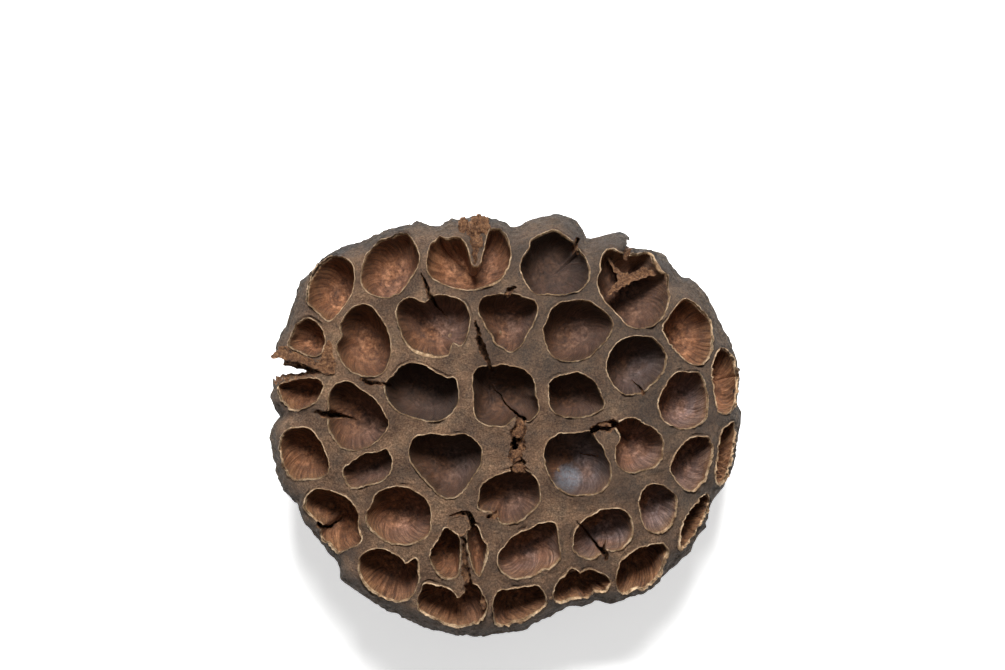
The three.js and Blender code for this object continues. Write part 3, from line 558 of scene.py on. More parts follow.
sheet_points, _ = on_face(plan_points, collar(to_mouth) * short_of_rim)
ring_rows = [np.column_stack([rim_loop, rim_height(polar(*rim_loop.T)[0])])] + list(hole_rings.values())
exact = np.vstack(ring_rows)
for new, old in enumerate(used):
    source = sources[old]
    if 0 <= source < len(exact):
        sheet_points[new] = exact[source]
mesh = bpy.data.meshes.new("face_sheet")
sheet_faces = [tuple(int(i) for i in renumber[t]) for t in triangles]
mesh.from_pydata([tuple(p) for p in sheet_points], [], sheet_faces)
sheet = bpy.data.objects.new("face_sheet", mesh)
bpy.context.collection.objects.link(sheet)
pieces_of_head.append(sheet)

# ---------------------------------------------------------------- the outside, from the rim to the scar
# Below the rim the dark skin turns under, draws in with long wrinkles and ends at the stem scar.
back_section = np.array([(0.0, 1.0), (0.03, 0.97), (0.1, 0.9), (0.22, 0.76), (0.36, 0.61), (0.52, 0.45),
                         (0.68, 0.3), (0.8, 0.19), (0.9, 0.1), (0.96, 0.04), (0.985, 0.012), (1.0, 0.0)])
back_radius = np.array([1.0, 1.0, 0.992, 0.93, 0.8, 0.62, 0.42, 0.26, 0.12, 0.035, 0.01, 0.0])
back_rings = 34
bpy.ops.object.select_all(action="DESELECT")
bpy.ops.mesh.primitive_circle_add(vertices=rim_steps, radius=1, fill_type="NOTHING")
skin = bpy.context.object
skin.name = "outer_skin"
bpy.ops.object.mode_set(mode="EDIT")
bpy.ops.mesh.select_all(action="SELECT")
rim_ring = ring_rows[0]
for number in range(back_rings + 1):
    if number:
        bpy.ops.mesh.extrude_edges_move()
    along = number / back_rings
    radius = np.interp(along, back_section[:, 0], back_radius)
    height = np.interp(along, back_section[:, 0], back_section[:, 1])
    around = np.arctan2(rim_ring[:, 1], rim_ring[:, 0])
    scar = scar_radius * np.column_stack([np.cos(around), np.sin(around)])
    points = np.column_stack([scar + (rim_ring[:, :2] - scar) * radius, rim_ring[:, 2] * height])
    mesh = bmesh.from_edit_mesh(skin.data)
    place = mesh.verts.layers.int.get("place") or mesh.verts.layers.int.new("place")
    floats, strand = colour_layers(mesh)
    ring = [vert for vert in mesh.verts if vert.select]
    if number == 0:
        for vert in ring:
            turn = math.atan2(vert.co.y, vert.co.x)
            vert[place] = round((turn + math.pi) / (2 * math.pi) * rim_steps) % rim_steps
    for vert in ring:
        i = vert[place]
        vert.co = points[i]
        vert[floats["skin"]] = 1
        vert[strand] = Vector((math.cos(around[i]) * 30, math.sin(around[i]) * 30, along * 8))
    bmesh.update_edit_mesh(skin.data)
bpy.ops.mesh.edge_face_add()
bpy.ops.mesh.poke()
bpy.ops.object.mode_set(mode="OBJECT")
pieces_of_head.append(skin)

bpy.ops.object.select_all(action="DESELECT")
for piece in pieces_of_head:
    piece.select_set(True)
bpy.context.view_layer.objects.active = sheet
bpy.ops.object.join()
head = bpy.context.object
head.name = "seed_head"
bpy.ops.object.mode_set(mode="EDIT")
bpy.ops.mesh.select_all(action="SELECT")
bpy.ops.mesh.remove_doubles(threshold=0.002)
bpy.ops.mesh.normals_make_consistent(inside=False)
bpy.ops.mesh.select_all(action="DESELECT")
bpy.ops.object.mode_set(mode="OBJECT")


def read_layer(mesh, key, width=1):
    values = np.empty(len(mesh.vertices) * width)
    mesh.attributes[key].data.foreach_get("vector" if width == 3 else "value", values)
    return values.reshape(-1, width) if width > 1 else values


def write_layer(mesh, key, values, kind="FLOAT"):
    layer = mesh.attributes.get(key) or mesh.attributes.new(key, kind, "POINT")
    field = "vector" if kind == "FLOAT_VECTOR" else "value"
    layer.data.foreach_set(field, np.ascontiguousarray(values).ravel())


def read_points(mesh, what="co"):
    values = np.empty(len(mesh.vertices) * 3)
    if what == "co":
        mesh.vertices.foreach_get("co", values)
    else:
        mesh.vertex_normals.foreach_get("vector", values)
    return values.reshape(-1, 3)


# Drying wrinkled the outside lengthways and left it rough, and puckered the face more finely.
places = read_points(head.data)
normals = read_points(head.data, "normal")
wall = read_layer(head.data, "wall")
skin_share = read_layer(head.data, "skin")
rim_share = read_layer(head.data, "rim")
strand = read_layer(head.data, "strand", 3)
share = polar(places[:, 0], places[:, 1])[1]
over_edge = np.clip((share - 0.92) / 0.07, 0, 1) * (places[:, 2] > 30) * (wall < 0.5)
skin_share = np.maximum(skin_share, over_edge)
lumps = np.zeros(len(places))
rough = np.nonzero((skin_share > 0.01) & (wall < 0.5))[0]
above_scar = np.clip(places[rough, 2] / 5, 0, 1)
lengthways = 1.5 * waver(strand[rough], 3.4, 3, 3) + 0.7 * waver(strand[rough], 2.1, 41, 2)
lengthways *= np.clip((44 - places[rough, 2]) / 20, 0, 1)
lumps[rough] = skin_share[rough] * above_scar * (0.35 * waver(places[rough], 1.3, 11, 3)
                                                 + 0.55 * waver(places[rough], 5, 17, 2) + lengthways)
smooth = np.nonzero((skin_share < 0.99) & (wall < 0.5) & (rim_share < 0.5))[0]
lumps[smooth] += (1 - skin_share[smooth]) * (0.2 * waver(places[smooth], 1.2, 23, 3)
                                             + 0.3 * waver(places[smooth], 4.0, 29, 2))
places += normals * lumps[:, None]
head.data.vertices.foreach_set("co", places.ravel())
write_layer(head.data, "skin", skin_share)
head.data.update()

# ---------------------------------------------------------------- cracks and tears
# As the head dried it split between some sockets and lost walls at its left edge. Each split is cut
# with a jagged blade, and shows the orange fibres inside. Each has its path seen from above, its
# widths along that, and its depth.
cracks = [
    # the split down the middle: across the face, through a socket's wall, then a fibre-filled channel
    ([(-7.0, 24), (-6.3, 20.8), (-5.5, 18), (-4.6, 15.6), (-3.2, 12.6)], [0.4, 1.2, 2.0, 1.3, 0.9], 11),
    ([(-3.6, 9.6), (-2.6, 8.2), (-1.2, 7), (-0.2, 5.2), (1.6, 3.6), (4.2, 1.6)],
     [0.2, 0.4, 0.5, 0.6, 0.7, 1.2], 17),
    ([(3.4, 3.2), (2.7, 0), (2.3, -3), (2.2, -5.5), (2.4, -8), (2.7, -11)],
     [2.2, 3.1, 3.0, 3.2, 3.4, 5.2], 3.4),
    ([(1.4, -1.8), (1.5, -3.4), (1.9, -5.2), (2.3, -7.5)], [0.6, 1.8, 1.4, 1.0], 12),
    # between two sockets on the left, and into the walls of others
    ([(-32.4, 11.4), (-30.8, 10.3), (-28.6, 10), (-25.6, 9.6)], [0.8, 1.2, 0.8, 0.7], 7),
    ([(-42.8, 3.6), (-40.5, 3.3), (-38.5, 3.1), (-36.5, 2.6), (-33.6, 1.7)], [0.5, 1.5, 2.1, 1.5, 0.4], 14),
    ([(-19.2, 34.4), (-17.9, 31.5), (-17, 29.2), (-15.4, 27), (-13.4, 24.6)],
     [0.3, 1.0, 1.4, 0.7, 0.2], 13),
    ([(-42.4, -21.2), (-39.6, -22.2), (-37.5, -20.8), (-35, -19)], [1.4, 1.0, 0.7, 0.3], 13),
    ([(15.4, -20.4), (17.8, -23.4), (19.6, -25.6), (21.8, -28.4)], [0.3, 0.6, 0.8, 1.2], 15),
    ([(16.2, -5.6), (18.2, -6.2), (20.4, -6.3)], [0.2, 0.5, 0.3], 18),
    ([(27.8, 10.6), (29.2, 9.4), (30.4, 7.4)], [0.2, 0.5, 0.8], 16),
    # the walls broken open
    ([(18.4, -0.6), (20.4, 0.3), (22.5, 0.6), (24.8, 1.0)], [1.3, 2.2, 2.4, 1.7], 8),
    ([(-55, 13.6), (-50.4, 14.0), (-46.4, 13.6), (-44, 13.2), (-41, 13), (-38.2, 12.8)],
     [8, 7.2, 4.8, 3.2, 2, 0.6], 13),
    ([(-57, 12.9), (-52, 12.9), (-48, 12.7), (-45, 12.5)], [4.2, 3.4, 2.4, 1.0], 27),
    ([(-7.4, 50), (-7.3, 46.4), (-7.2, 42), (-7.1, 36.4)], [5.0, 4.6, 2.2, 0.5], 3.2),
    ([(-12.8, -19.2), (-10.5, -18.8), (-8.6, -18.8), (-7.9, -20.6), (-8.0, -23)],
     [0.4, 0.9, 1.2, 1.6, 1.4], 8),
    ([(-1.4, -18.2), (-3, -19.6), (-4.6, -19.4)], [1.8, 1.5, 0.6], 6),
    ([(-9.5, -24), (-9.4, -27), (-9.2, -30.8), (-8.9, -33.4), (-8.3, -36.4)], [0.8, 1.1, 1.8, 2.0, 1.8], 6),
    ([(13.9, 37.4), (14.7, 39.4), (16.1, 42.4)], [0.5, 1.3, 1.0], 6),
    ([(27.2, 36.2), (26.6, 38.4), (27.6, 42)], [0.6, 1.3, 2.2], 5),
    ([(-0.9, 27.4), (0.4, 30.2), (1.9, 31.6)], [0.9, 1.5, 0.6], 5),
    ([(22.3, -29.4), (21.6, -27), (22, -25)], [1.3, 0.9, 0.3], 9),
]


def blade(path, widths, depth, seed):
    """A ragged wedge along a path, from above the face down to the depth."""
    path = np.array(path, float)
    along = np.concatenate([[0], np.cumsum(np.hypot(*np.diff(path, axis=0).T))])
    steps = np.linspace(0, along[-1], max(6, int(along[-1] / 0.34)))
    line = np.column_stack([np.interp(steps, along, path[:, axis]) for axis in (0, 1)])
    width = np.interp(steps, along, widths) / 2
    ahead = np.gradient(line, axis=0)
    side = np.column_stack([ahead[:, 1], -ahead[:, 0]]) / np.linalg.norm(ahead, axis=1)[:, None]
    flat = np.column_stack([line, np.zeros(len(line))])
    line = line + side * (0.3 * waver(flat, 1.6, seed + 9, 3))[:, None]
    high = face_height(*line.T)
    falls = np.concatenate([[4.0], np.linspace(0.3, -depth, max(4, int(depth / 0.8) + 2))])
    taper = 1 - 0.6 * np.clip(-falls / depth, 0, 1) ** 2
    levels = len(falls)
    spots = np.column_stack([np.repeat(line, levels, 0), np.tile(falls * 0.5, len(line))])
    flanks = []
    for hand in (1, -1):
        swell = 1 + 0.5 * waver(spots, 1.1, seed + 20 * hand, 3)
        fray = 0.15 * waver(spots, 0.42, seed + 30 * hand, 2)
        out = np.maximum(np.repeat(width, levels) * np.tile(taper, len(line)) * swell + fray, 0.04)
        plan = np.repeat(line, levels, 0) + np.repeat(side, levels, 0) * (hand * out)[:, None]
        flank = np.column_stack([plan, np.repeat(high, levels) + np.tile(falls, len(line))])
        flanks.append(flank.reshape(len(line), levels, 3))
    bed = []
    for share in (0.2, 0.0, -0.2):
        plan = line + side * (share * width)[:, None]
        bed.append(np.column_stack([plan, high - depth + 0.6 * waver(flat, 0.9, seed + 50 * share, 3)]))
    rings = np.concatenate([flanks[0], np.stack(bed, 1), flanks[1][:, ::-1]], axis=1)
    around = rings.shape[1]
    faces = [tuple(range(around)), tuple(range((len(line) - 1) * around, len(line) * around))]
    for i in range(len(line) - 1):
        for j in range(around):
            k = (j + 1) % around
            faces.append((i * around + j, i * around + k, (i + 1) * around + k, (i + 1) * around + j))
    cutter = bpy.data.meshes.new("blade")
    cutter.from_pydata([tuple(p) for p in rings.reshape(-1, 3)], [], faces)
    made = bpy.data.objects.new("blade", cutter)
    bpy.context.collection.objects.link(made)
    bpy.context.view_layer.objects.active = made
    bpy.ops.object.mode_set(mode="EDIT")
    bpy.ops.mesh.select_all(action="SELECT")
    bpy.ops.mesh.normals_make_consistent(inside=False)
    bpy.ops.object.mode_set(mode="OBJECT")
    return made


whole_points = read_points(head.data)
whole_surface = BVHTree.FromPolygons([tuple(p) for p in whole_points],
                                     [tuple(polygon.vertices) for polygon in head.data.polygons])
whole = {key: read_layer(head.data, key) for key in ("rim", "depth", "wall", "skin", "lilac", "painted_cup_shade")}
whole_strand = read_layer(head.data, "strand", 3)
for number, (path, widths, depth) in enumerate(cracks):
    cutter = blade(path, widths, depth, number * 3.7)
    bpy.ops.object.select_all(action="DESELECT")
    head.select_set(True)
    bpy.context.view_layer.objects.active = head
    cut = head.modifiers.new("split", "BOOLEAN")
    cut.operation = "DIFFERENCE"
    cut.solver = "MANIFOLD"
    cut.object = cutter
    bpy.ops.object.modifier_apply(modifier=cut.name)
    bpy.data.objects.remove(cutter)

# Each point takes the values of the nearest point before the cuts, and the cut faces are bare tissue.
tree = kdtree.KDTree(len(whole_points))
for index, point in enumerate(whole_points):
    tree.insert(point, index)
tree.balance()
places = read_points(head.data)
near = np.array([tree.find(p)[1] for p in places])
gap = np.array([whole_surface.find_nearest(Vector(p))[3] for p in places])
for key, values in whole.items():
    write_layer(head.data, key, values[near])
write_layer(head.data, "strand", whole_strand[near], "FLOAT_VECTOR")
torn = np.clip((gap - 0.03) / 0.15, 0, 1)
write_layer(head.data, "tissue", torn)
torn_places = []
for polygon in head.data.polygons:
    middle = polygon.center
    low = face_height(middle.x, middle.y) - middle.z
    if torn[list(polygon.vertices)].mean() > 0.6 and low < 6:
        torn_places.append((*middle, *polygon.normal, polygon.area))
torn_places = np.array(torn_places)

# ---------------------------------------------------------------- finish of the head
# The head is one dried tissue all through. Every point carries how much it is lip, lining, outer
# skin or torn tissue, and the colour, the relief and the gloss of the finish follow that.
head.data.vertices.foreach_set("co", (read_points(head.data) * MM).ravel())
bpy.ops.object.select_all(action="DESELECT")
head.select_set(True)
bpy.context.view_layer.objects.active = head
bpy.ops.object.mode_set(mode="EDIT")
bpy.ops.mesh.select_all(action="SELECT")
bpy.ops.mesh.quads_convert_to_tris()
bpy.ops.object.mode_set(mode="OBJECT")
bpy.ops.object.shade_smooth_by_angle(angle=math.radians(62))

tissue = bpy.data.materials.new("dried_tissue")
tissue.use_nodes = True
graph = tissue.node_tree
graph.nodes.clear()


def feed(socket, value):
    """Link a socket to another one, or give it a constant."""
    if isinstance(value, bpy.types.NodeSocket):
        graph.links.new(value, socket)
    else:
        socket.default_value = (*value, 1) if isinstance(value, tuple) else value


def add(kind, **settings):
    """A new node, with its sockets fed and its other settings set."""
    node = graph.nodes.new(kind)
    for key, value in settings.items():
        socket = node.inputs.get(key.replace("_", " "))
        if socket is None:
            setattr(node, key, value)
        else:
            feed(socket, value)
    return node


def mix(share, first, second, blend="MIX"):
    node = add("ShaderNodeMix", data_type="RGBA", blend_type=blend)
    for number, value in ((0, share), (6, first), (7, second)):
        feed(node.inputs[number], value)
    return node.outputs[2]


def ramp(value, stops):
    node = add("ShaderNodeValToRGB")
    feed(node.inputs[0], value)
    elements = node.color_ramp.elements
    while len(elements) < len(stops):
        elements.new(0.5)
    for element, (at, colour) in zip(elements, stops):
        element.position = at
        element.color = (*colour, 1) if isinstance(colour, tuple) else (colour, colour, colour, 1)
    return node.outputs[0]


def maths(operation, first, second):
    node = add("ShaderNodeMath", operation=operation)
    feed(node.inputs[0], first)
    feed(node.inputs[1], second)
    return node.outputs[0]


def times(first, second):
    return maths("MULTIPLY", first, second)


def plus(first, second):
    return maths("ADD", first, second)


def attribute(key):
    return add("ShaderNodeAttribute", attribute_name=key)


def grain(vector, scale, detail=4.0, roughness=0.6):
    node = add("ShaderNodeTexNoise", Vector=vector, Scale=scale, Detail=detail, Roughness=roughness)
    return node.outputs[0]


place = add("ShaderNodeTexCoord").outputs["Object"]
in_mm = add("ShaderNodeVectorMath", operation="SCALE", Vector=place, Scale=1 / MM).outputs[0]
rim = attribute("rim").outputs["Fac"]
depth = attribute("depth").outputs["Fac"]
on_wall = attribute("wall").outputs["Fac"]
on_skin = attribute("skin").outputs["Fac"]
on_torn = attribute("tissue").outputs["Fac"]
strands = attribute("strand").outputs["Vector"]

# The face: brown leather with darker patches, fine grit and pale flecks, and painted shade that makes it
# darker and greyer towards one side.
face = ramp(grain(in_mm, 0.17, 7, 0.62),
            [(0.36, (0.1, 0.055, 0.031)), (0.46, (0.175, 0.098, 0.055)),
             (0.56, (0.26, 0.15, 0.084)), (0.67, (0.38, 0.232, 0.13))])
mottle = ramp(grain(in_mm, 0.34, 8, 0.62), [(0.43, 0.0), (0.6, 0.72)])
face = mix(mottle, face, (0.066, 0.043, 0.03))
grit = ramp(grain(in_mm, 2.4, 7, 0.8), [(0.38, 0.42), (0.5, 0.95), (0.62, 1.75)])
face = mix(1.0, face, grit, "MULTIPLY")
flecks = ramp(grain(in_mm, 1.5, 4, 0.8), [(0.64, 0.0), (0.71, 0.7)])
face = mix(flecks, face, (0.34, 0.215, 0.125))
split_place = add("ShaderNodeSeparateXYZ", Vector=place)
# Painted shade: towards the +X+Y corner the face is painted darker and greyer.
corner = plus(split_place.outputs["X"], split_place.outputs["Y"])
corner = plus(times(corner, 12.0), grain(in_mm, 0.08, 4, 0.6))
painted_corner_shade = ramp(corner, [(0.5, 0.0), (0.95, 0.8)])
shaded_face = mix(0.45, mix(1.0, face, (0.62, 0.64, 0.66), "MULTIPLY"), (0.062, 0.052, 0.044))
face = mix(painted_corner_shade, face, shaded_face)

# The outside: dark brown with lengthwise furrows, and sooty patches towards the far side.
around = add("ShaderNodeVectorMath", operation="MULTIPLY", Vector=strands)
around.inputs[1].default_value = (1, 1, 0.5)
around = around.outputs[0]
skin_grain = mix(0.6, grain(in_mm, 0.8, 9, 0.75), grain(around, 0.9, 8, 0.7))
skin_colour = ramp(skin_grain, [(0.4, (0.026, 0.018, 0.012)), (0.5, (0.078, 0.052, 0.034)),
                                (0.61, (0.19, 0.13, 0.085))])
far_side = ramp(times(split_place.outputs["Y"], 20.0), [(0.3, 0.15), (0.7, 1.0)])
soot = times(ramp(grain(in_mm, 0.09, 4, 0.6), [(0.45, 0.0), (0.6, 0.75)]), far_side)
skin_colour = mix(soot, skin_colour, (0.04, 0.038, 0.038))
pits = ramp(grain(in_mm, 1.6, 5, 0.8), [(0.36, 0.45), (0.64, 1.6)])
skin_colour = mix(1.0, skin_colour, pits, "MULTIPLY")
furrows = grain(around, 0.45, 6, 0.65)
skin_colour = mix(1.0, skin_colour, ramp(furrows, [(0.4, 0.45), (0.6, 1.4)]), "MULTIPLY")

# The linings: mahogany and lilac grey, streaked and stained; painted sheen, painted light near the mouth,
# painted shade in some cups.
bottom = ramp(depth, [(0.6, 0.0), (0.93, 1.0)])
streaks = mix(bottom, grain(around, 1.7, 7, 0.72), grain(in_mm, 0.8, 6, 0.7))
warm_lining = ramp(streaks, [(0.36, (0.06, 0.024, 0.012)), (0.5, (0.212, 0.087, 0.039)),
                             (0.64, (0.42, 0.198, 0.098))])
grey_lining = ramp(streaks, [(0.36, (0.08, 0.054, 0.05)), (0.5, (0.2, 0.143, 0.133)),
                             (0.64, (0.38, 0.29, 0.275))])
# The lilac grey is partly a painted sheen on the lit walls.
lilac_with_sheen = attribute("lilac").outputs["Fac"]
greyness = times(lilac_with_sheen, ramp(grain(in_mm, 0.16, 4, 0.6), [(0.35, 0.35), (0.55, 1.0)]))
lining = mix(maths("MINIMUM", greyness, 1.0), warm_lining, grey_lining)
stains = ramp(grain(in_mm, 0.3, 6, 0.65), [(0.42, 0.0), (0.68, 0.55)])
lining = mix(stains, lining, (0.05, 0.03, 0.022))
# Painted light: the lining is paler and golden near the mouth, where light reaches into the cup, and darker
# deeper down; partly its own golden tone.
lit_near_mouth = ramp(depth, [(0.05, 1.0), (0.66, 0.0)])
golden_lit_band = times(lit_near_mouth, ramp(grain(in_mm, 0.25, 5, 0.6), [(0.35, 0.12), (0.58, 0.62)]))
gold = ramp(streaks, [(0.37, (0.11, 0.052, 0.023)), (0.62, (0.4, 0.215, 0.1))])
lining = mix(golden_lit_band, lining, gold)
# Painted shade: some cups' linings are darkened as a whole.
lining = mix(attribute("painted_cup_shade").outputs["Fac"], lining, (0.028, 0.019, 0.015))
bloom = ramp(times(lilac_with_sheen, 0.5), [(0.58, 0.0), (0.95, 0.75)])
dots = ramp(grain(in_mm, 1.1, 3, 0.6), [(0.38, 0.15), (0.5, 1.0)])
lining = mix(times(bloom, dots), lining, (0.135, 0.145, 0.165))
fine = ramp(grain(in_mm, 1.5, 7, 0.8), [(0.36, 0.5), (0.64, 1.45)])
lining = mix(0.8, lining, fine, "MULTIPLY")

# The lips are pale straw, broken by brown stretches, and torn tissue is orange.
lip_colour = ramp(grain(in_mm, 0.42, 7, 0.8), [(0.36, (0.15, 0.08, 0.04)), (0.47, (0.45, 0.275, 0.145)),
                                               (0.58, (0.84, 0.6, 0.37))])
torn_colour = ramp(grain(in_mm, 1.1, 9, 0.8), [(0.37, (0.035, 0.015, 0.008)), (0.5, (0.22, 0.098, 0.042)),
                                               (0.62, (0.5, 0.255, 0.115))])
lip_share = ramp(times(rim, plus(grain(in_mm, 0.5, 8, 0.8), 0.38)), [(0.45, 0.0), (0.74, 1.0)])
torn_share = ramp(on_torn, [(0.1, 0.0), (0.6, 1.0)])
colour = mix(on_wall, face, lining)
colour = mix(on_skin, colour, skin_colour)
colour = mix(lip_share, colour, lip_colour)
colour = mix(torn_share, colour, torn_colour)

bumps = times(grain(in_mm, 2.2, 8, 0.75), maths("SUBTRACT", 1.15, on_wall))
pucker = times(grain(in_mm, 0.8, 6, 0.7), maths("SUBTRACT", 1.0, on_wall))
bumps = plus(bumps, pucker)
bumps = plus(bumps, times(times(furrows, on_skin), 2.5))
bumps = plus(bumps, times(times(streaks, on_wall), 1.1))
bumps = plus(bumps, times(times(grain(in_mm, 3, 8, 0.8), on_torn), 1.5))
bump = add("ShaderNodeBump", Strength=1.0, Distance=0.0012, Height=bumps)
roughness = mix(on_wall, (0.86, 0.86, 0.86), (0.52, 0.52, 0.52))
roughness = mix(on_torn, roughness, (0.95, 0.95, 0.95))
shader = add("ShaderNodeBsdfPrincipled", Base_Color=colour, Roughness=roughness, Normal=bump.outputs[0])
shader.inputs["Specular IOR Level"].default_value = 0.35
output = add("ShaderNodeOutputMaterial")
graph.links.new(shader.outputs[0], output.inputs[0])
head.data.materials.clear()
head.data.materials.append(tissue)
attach(head, "root")
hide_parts("receptacle")

# ---------------------------------------------------------------- torn fibres
# Where the spongy tissue parted, its fibres were pulled out into short orange hairs, crumbs and
# clumps, and three scraps of it still hang over the sockets and the tear beside them.
hair_count = 1500
crumb_count = 380
clumps = [  # plan place, how far under the face, half width, half length, half height
    (-9.7, 44.0, 0.6, 1.0, 2.7, 1.8), (-5.9, 44.3, 0.4, 1.9, 3.2, 2.2), (-6.5, 40.2, 1.2, 1.2, 2.6, 1.8),
    (2.5, -1.0, 1.8, 1.3, 1.2, 1.0), (2.0, -6.0, 2.0, 1.2, 1.5, 1.2), (2.9, -8.9, 1.6, 1.6, 1.1, 1.0),
    (-9.1, -29.2, 3.0, 0.7, 2.3, 1.6), (-9.2, -33.0, 2.6, 0.9, 1.6, 1.4), (-2.6, -19.6, 1.2, 1.0, 0.9, 0.9),
    (-11.4, -18.9, 1.2, 1.3, 0.5, 0.7), (21.6, 0.9, 1.2, 1.4, 0.5, 0.8),
    (-50.3, 16.7, 1.0, 1.1, 0.8, 0.9), (-48.4, 16.4, 0.8, 1.2, 0.8, 1.0), (-46.4, 15.4, 0.8, 1.2, 0.8, 1.0),
    (-44.6, 14.4, 0.9, 1.2, 0.7, 0.9), (-42.4, 13.6, 1.0, 1.3, 0.7, 0.8), (-39.3, 15.6, 0.9, 0.7, 1.6, 0.8),
    (-39.0, 17.8, 0.7, 0.6, 1.3, 0.8), (14.4, -31.2, 0.8, 1.3, 0.6, 0.8), (-18.3, 29.9, 1.0, 0.6, 1.2, 0.7),
    (15.8, 39.6, 1.2, 0.6, 1.0, 0.7), (0.4, 29.9, 0.9, 1.0, 0.5, 0.6), (-5.2, -38.6, 0.9, 0.6, 1.8, 1.0),
]
# Small pale knobs that stand on the face and the walls.
knob_places = [(-12.7, 20.6), (-1.5, 21.2), (11.4, -9.4), (9.8, -38.0)]
scraps = [  # outline, how far under the face, thickness, slope, how far in from its edge it is bare
    ([(25.3, 39.0), (26.6, 37.2), (28.2, 36.9), (30.6, 37.9), (32.2, 37.6), (33.6, 36.6), (34.8, 35.0),
      (32.5, 34.6), (30.8, 34.1), (28.5, 33.2), (26.3, 31.9), (23.0, 30.0), (24.4, 33.6), (25.0, 36.4)],
     2.6, 8.0, 0.3, 90),
    ([(-13.2, -20.9), (-12.7, -19.7), (-11, -19.3), (-9.5, -19.2), (-8.6, -20.2), (-8.0, -21.4),
      (-8.8, -22.7), (-10.3, -23.6), (-11.4, -23.2), (-12.1, -22.6), (-12.3, -21.5)], -0.25, 0.7, 0, 0.35),
    ([(-52.4, 15.6), (-51.3, 16.7), (-49.8, 18.0), (-48.4, 17.9), (-46.4, 16.8), (-44.2, 15.8),
      (-42.2, 15.2), (-41.0, 15.3), (-40.7, 17.0), (-39.8, 19.0), (-38.9, 19.3), (-38.3, 17.0),
      (-37.7, 14.4), (-37.9, 12.4), (-39.4, 11.9), (-41.2, 12.6), (-43.6, 13.8), (-46.4, 14.8),
      (-49, 15.3), (-51.2, 15.3)], -0.5, 1.6, 0, 90),
]
shuffle = np.random.default_rng(11)
parts = []


def add_part(points, faces, bare, bright=0.0):
    """Keep one part's points and faces, with how bare and how bright each point is."""
    count = len(points)
    parts.append((np.asarray(points), faces, np.broadcast_to(bare, count), np.broadcast_to(bright, count)))


def ball(detail):
    """The points and faces of a small round start, for crumbs and clumps."""
    bpy.ops.mesh.primitive_ico_sphere_add(subdivisions=detail, radius=1)
    start = bpy.context.object
    points = read_points(start.data)
    faces = [tuple(polygon.vertices) for polygon in start.data.polygons]
    bpy.data.objects.remove(start)
    return points, faces


bpy.ops.object.select_all(action="DESELECT")
below = face_height(torn_places[:, 0], torn_places[:, 1]) - torn_places[:, 2]
share_of_area = torn_places[:, 6] * np.exp(-np.maximum(below, 0) / 0.9)
share_of_area /= share_of_area.sum()
# A hair is a thin three-sided spike with four levels.
third_of_turn = 2.094
hair_faces = []
for level in range(3):
    for corner in range(3):
        here, beside = 3 * level + corner, 3 * level + (corner + 1) % 3
        hair_faces.append((here, beside, beside + 3, here + 3))
hair_faces += [(9, 10, 11), (2, 1, 0)]
chosen = shuffle.choice(len(torn_places), hair_count, p=share_of_area)
for x, y, z, nx, ny, nz, _ in torn_places[chosen]:
    root = np.array([x, y, z]) + shuffle.normal(0, 0.12, 3)
    lean = np.array([nx, ny, nz]) * 0.7 + np.array([0, 0, 0.45]) + shuffle.normal(0, 0.55, 3)
    lean /= np.linalg.norm(lean)
    bend = shuffle.normal(0, 0.5, 3)
    length = shuffle.uniform(0.25, 0.95)
    thick = shuffle.uniform(0.04, 0.09)
    first = np.cross(lean, (0.3, 0.5, 0.8))
    first /= np.linalg.norm(first)
    second = np.cross(lean, first)
    points = []
    for level in range(4):
        t = level / 3
        middle = root - lean * 0.1 + lean * length * t + bend * length * t * t * 0.6
        for corner in range(3):
            turn = corner * third_of_turn
            outward = first * math.cos(turn) + second * math.sin(turn)
            points.append(middle + outward * thick * (1 - 0.8 * t))
    add_part(points, hair_faces, 1)

crumb_points, crumb_faces = ball(2)
chosen = shuffle.choice(len(torn_places), crumb_count, p=share_of_area)
for x, y, z, *_ in torn_places[chosen]:
    size = shuffle.uniform(0.1, 0.3) * shuffle.uniform(0.6, 1.5, 3)
    lump = 1 + 0.6 * waver(crumb_points, 0.9, shuffle.uniform(0, 90), 2)
    add_part(crumb_points * size * lump[:, None] + (x, y, z), crumb_faces, 1)

for number, (x, y, under, wide, long, tall) in enumerate(clumps):
    clump_points, clump_faces = ball(5 if long > 2.5 else 4)
    size = np.array([wide, long, tall])
    grown = clump_points * size
    swell = 1 + 0.35 * waver(grown, 1.3, number * 5.1, 3)
    crust = 0.3 * waver(grown, 0.5, number * 3.3, 3)
    grown = grown * swell[:, None] + clump_points * crust[:, None]
    add_part(grown + (x, y, float(face_height(x, y)) - under), clump_faces, 1)

surface = BVHTree.FromPolygons([tuple(p) for p in read_points(head.data) / MM],
                               [tuple(polygon.vertices) for polygon in head.data.polygons])
knob_points, knob_faces = ball(3)
for x, y in knob_places:
    hit, slope, _, _ = surface.ray_cast(Vector((x, y, 90)), Vector((0, 0, -1)))
    dimple = 1 - 0.7 * np.exp(-((np.hypot(knob_points[:, 0], knob_points[:, 1]) / 0.35) ** 2))
    knob = knob_points * (0.5, 0.5, 0.32)
    knob[:, 2] *= dimple
    turn = Vector((0, 0, 1)).rotation_difference(slope).to_matrix()
    add_part(knob @ np.array(turn).T + np.array(hit), knob_faces, 0.2, 0.62)

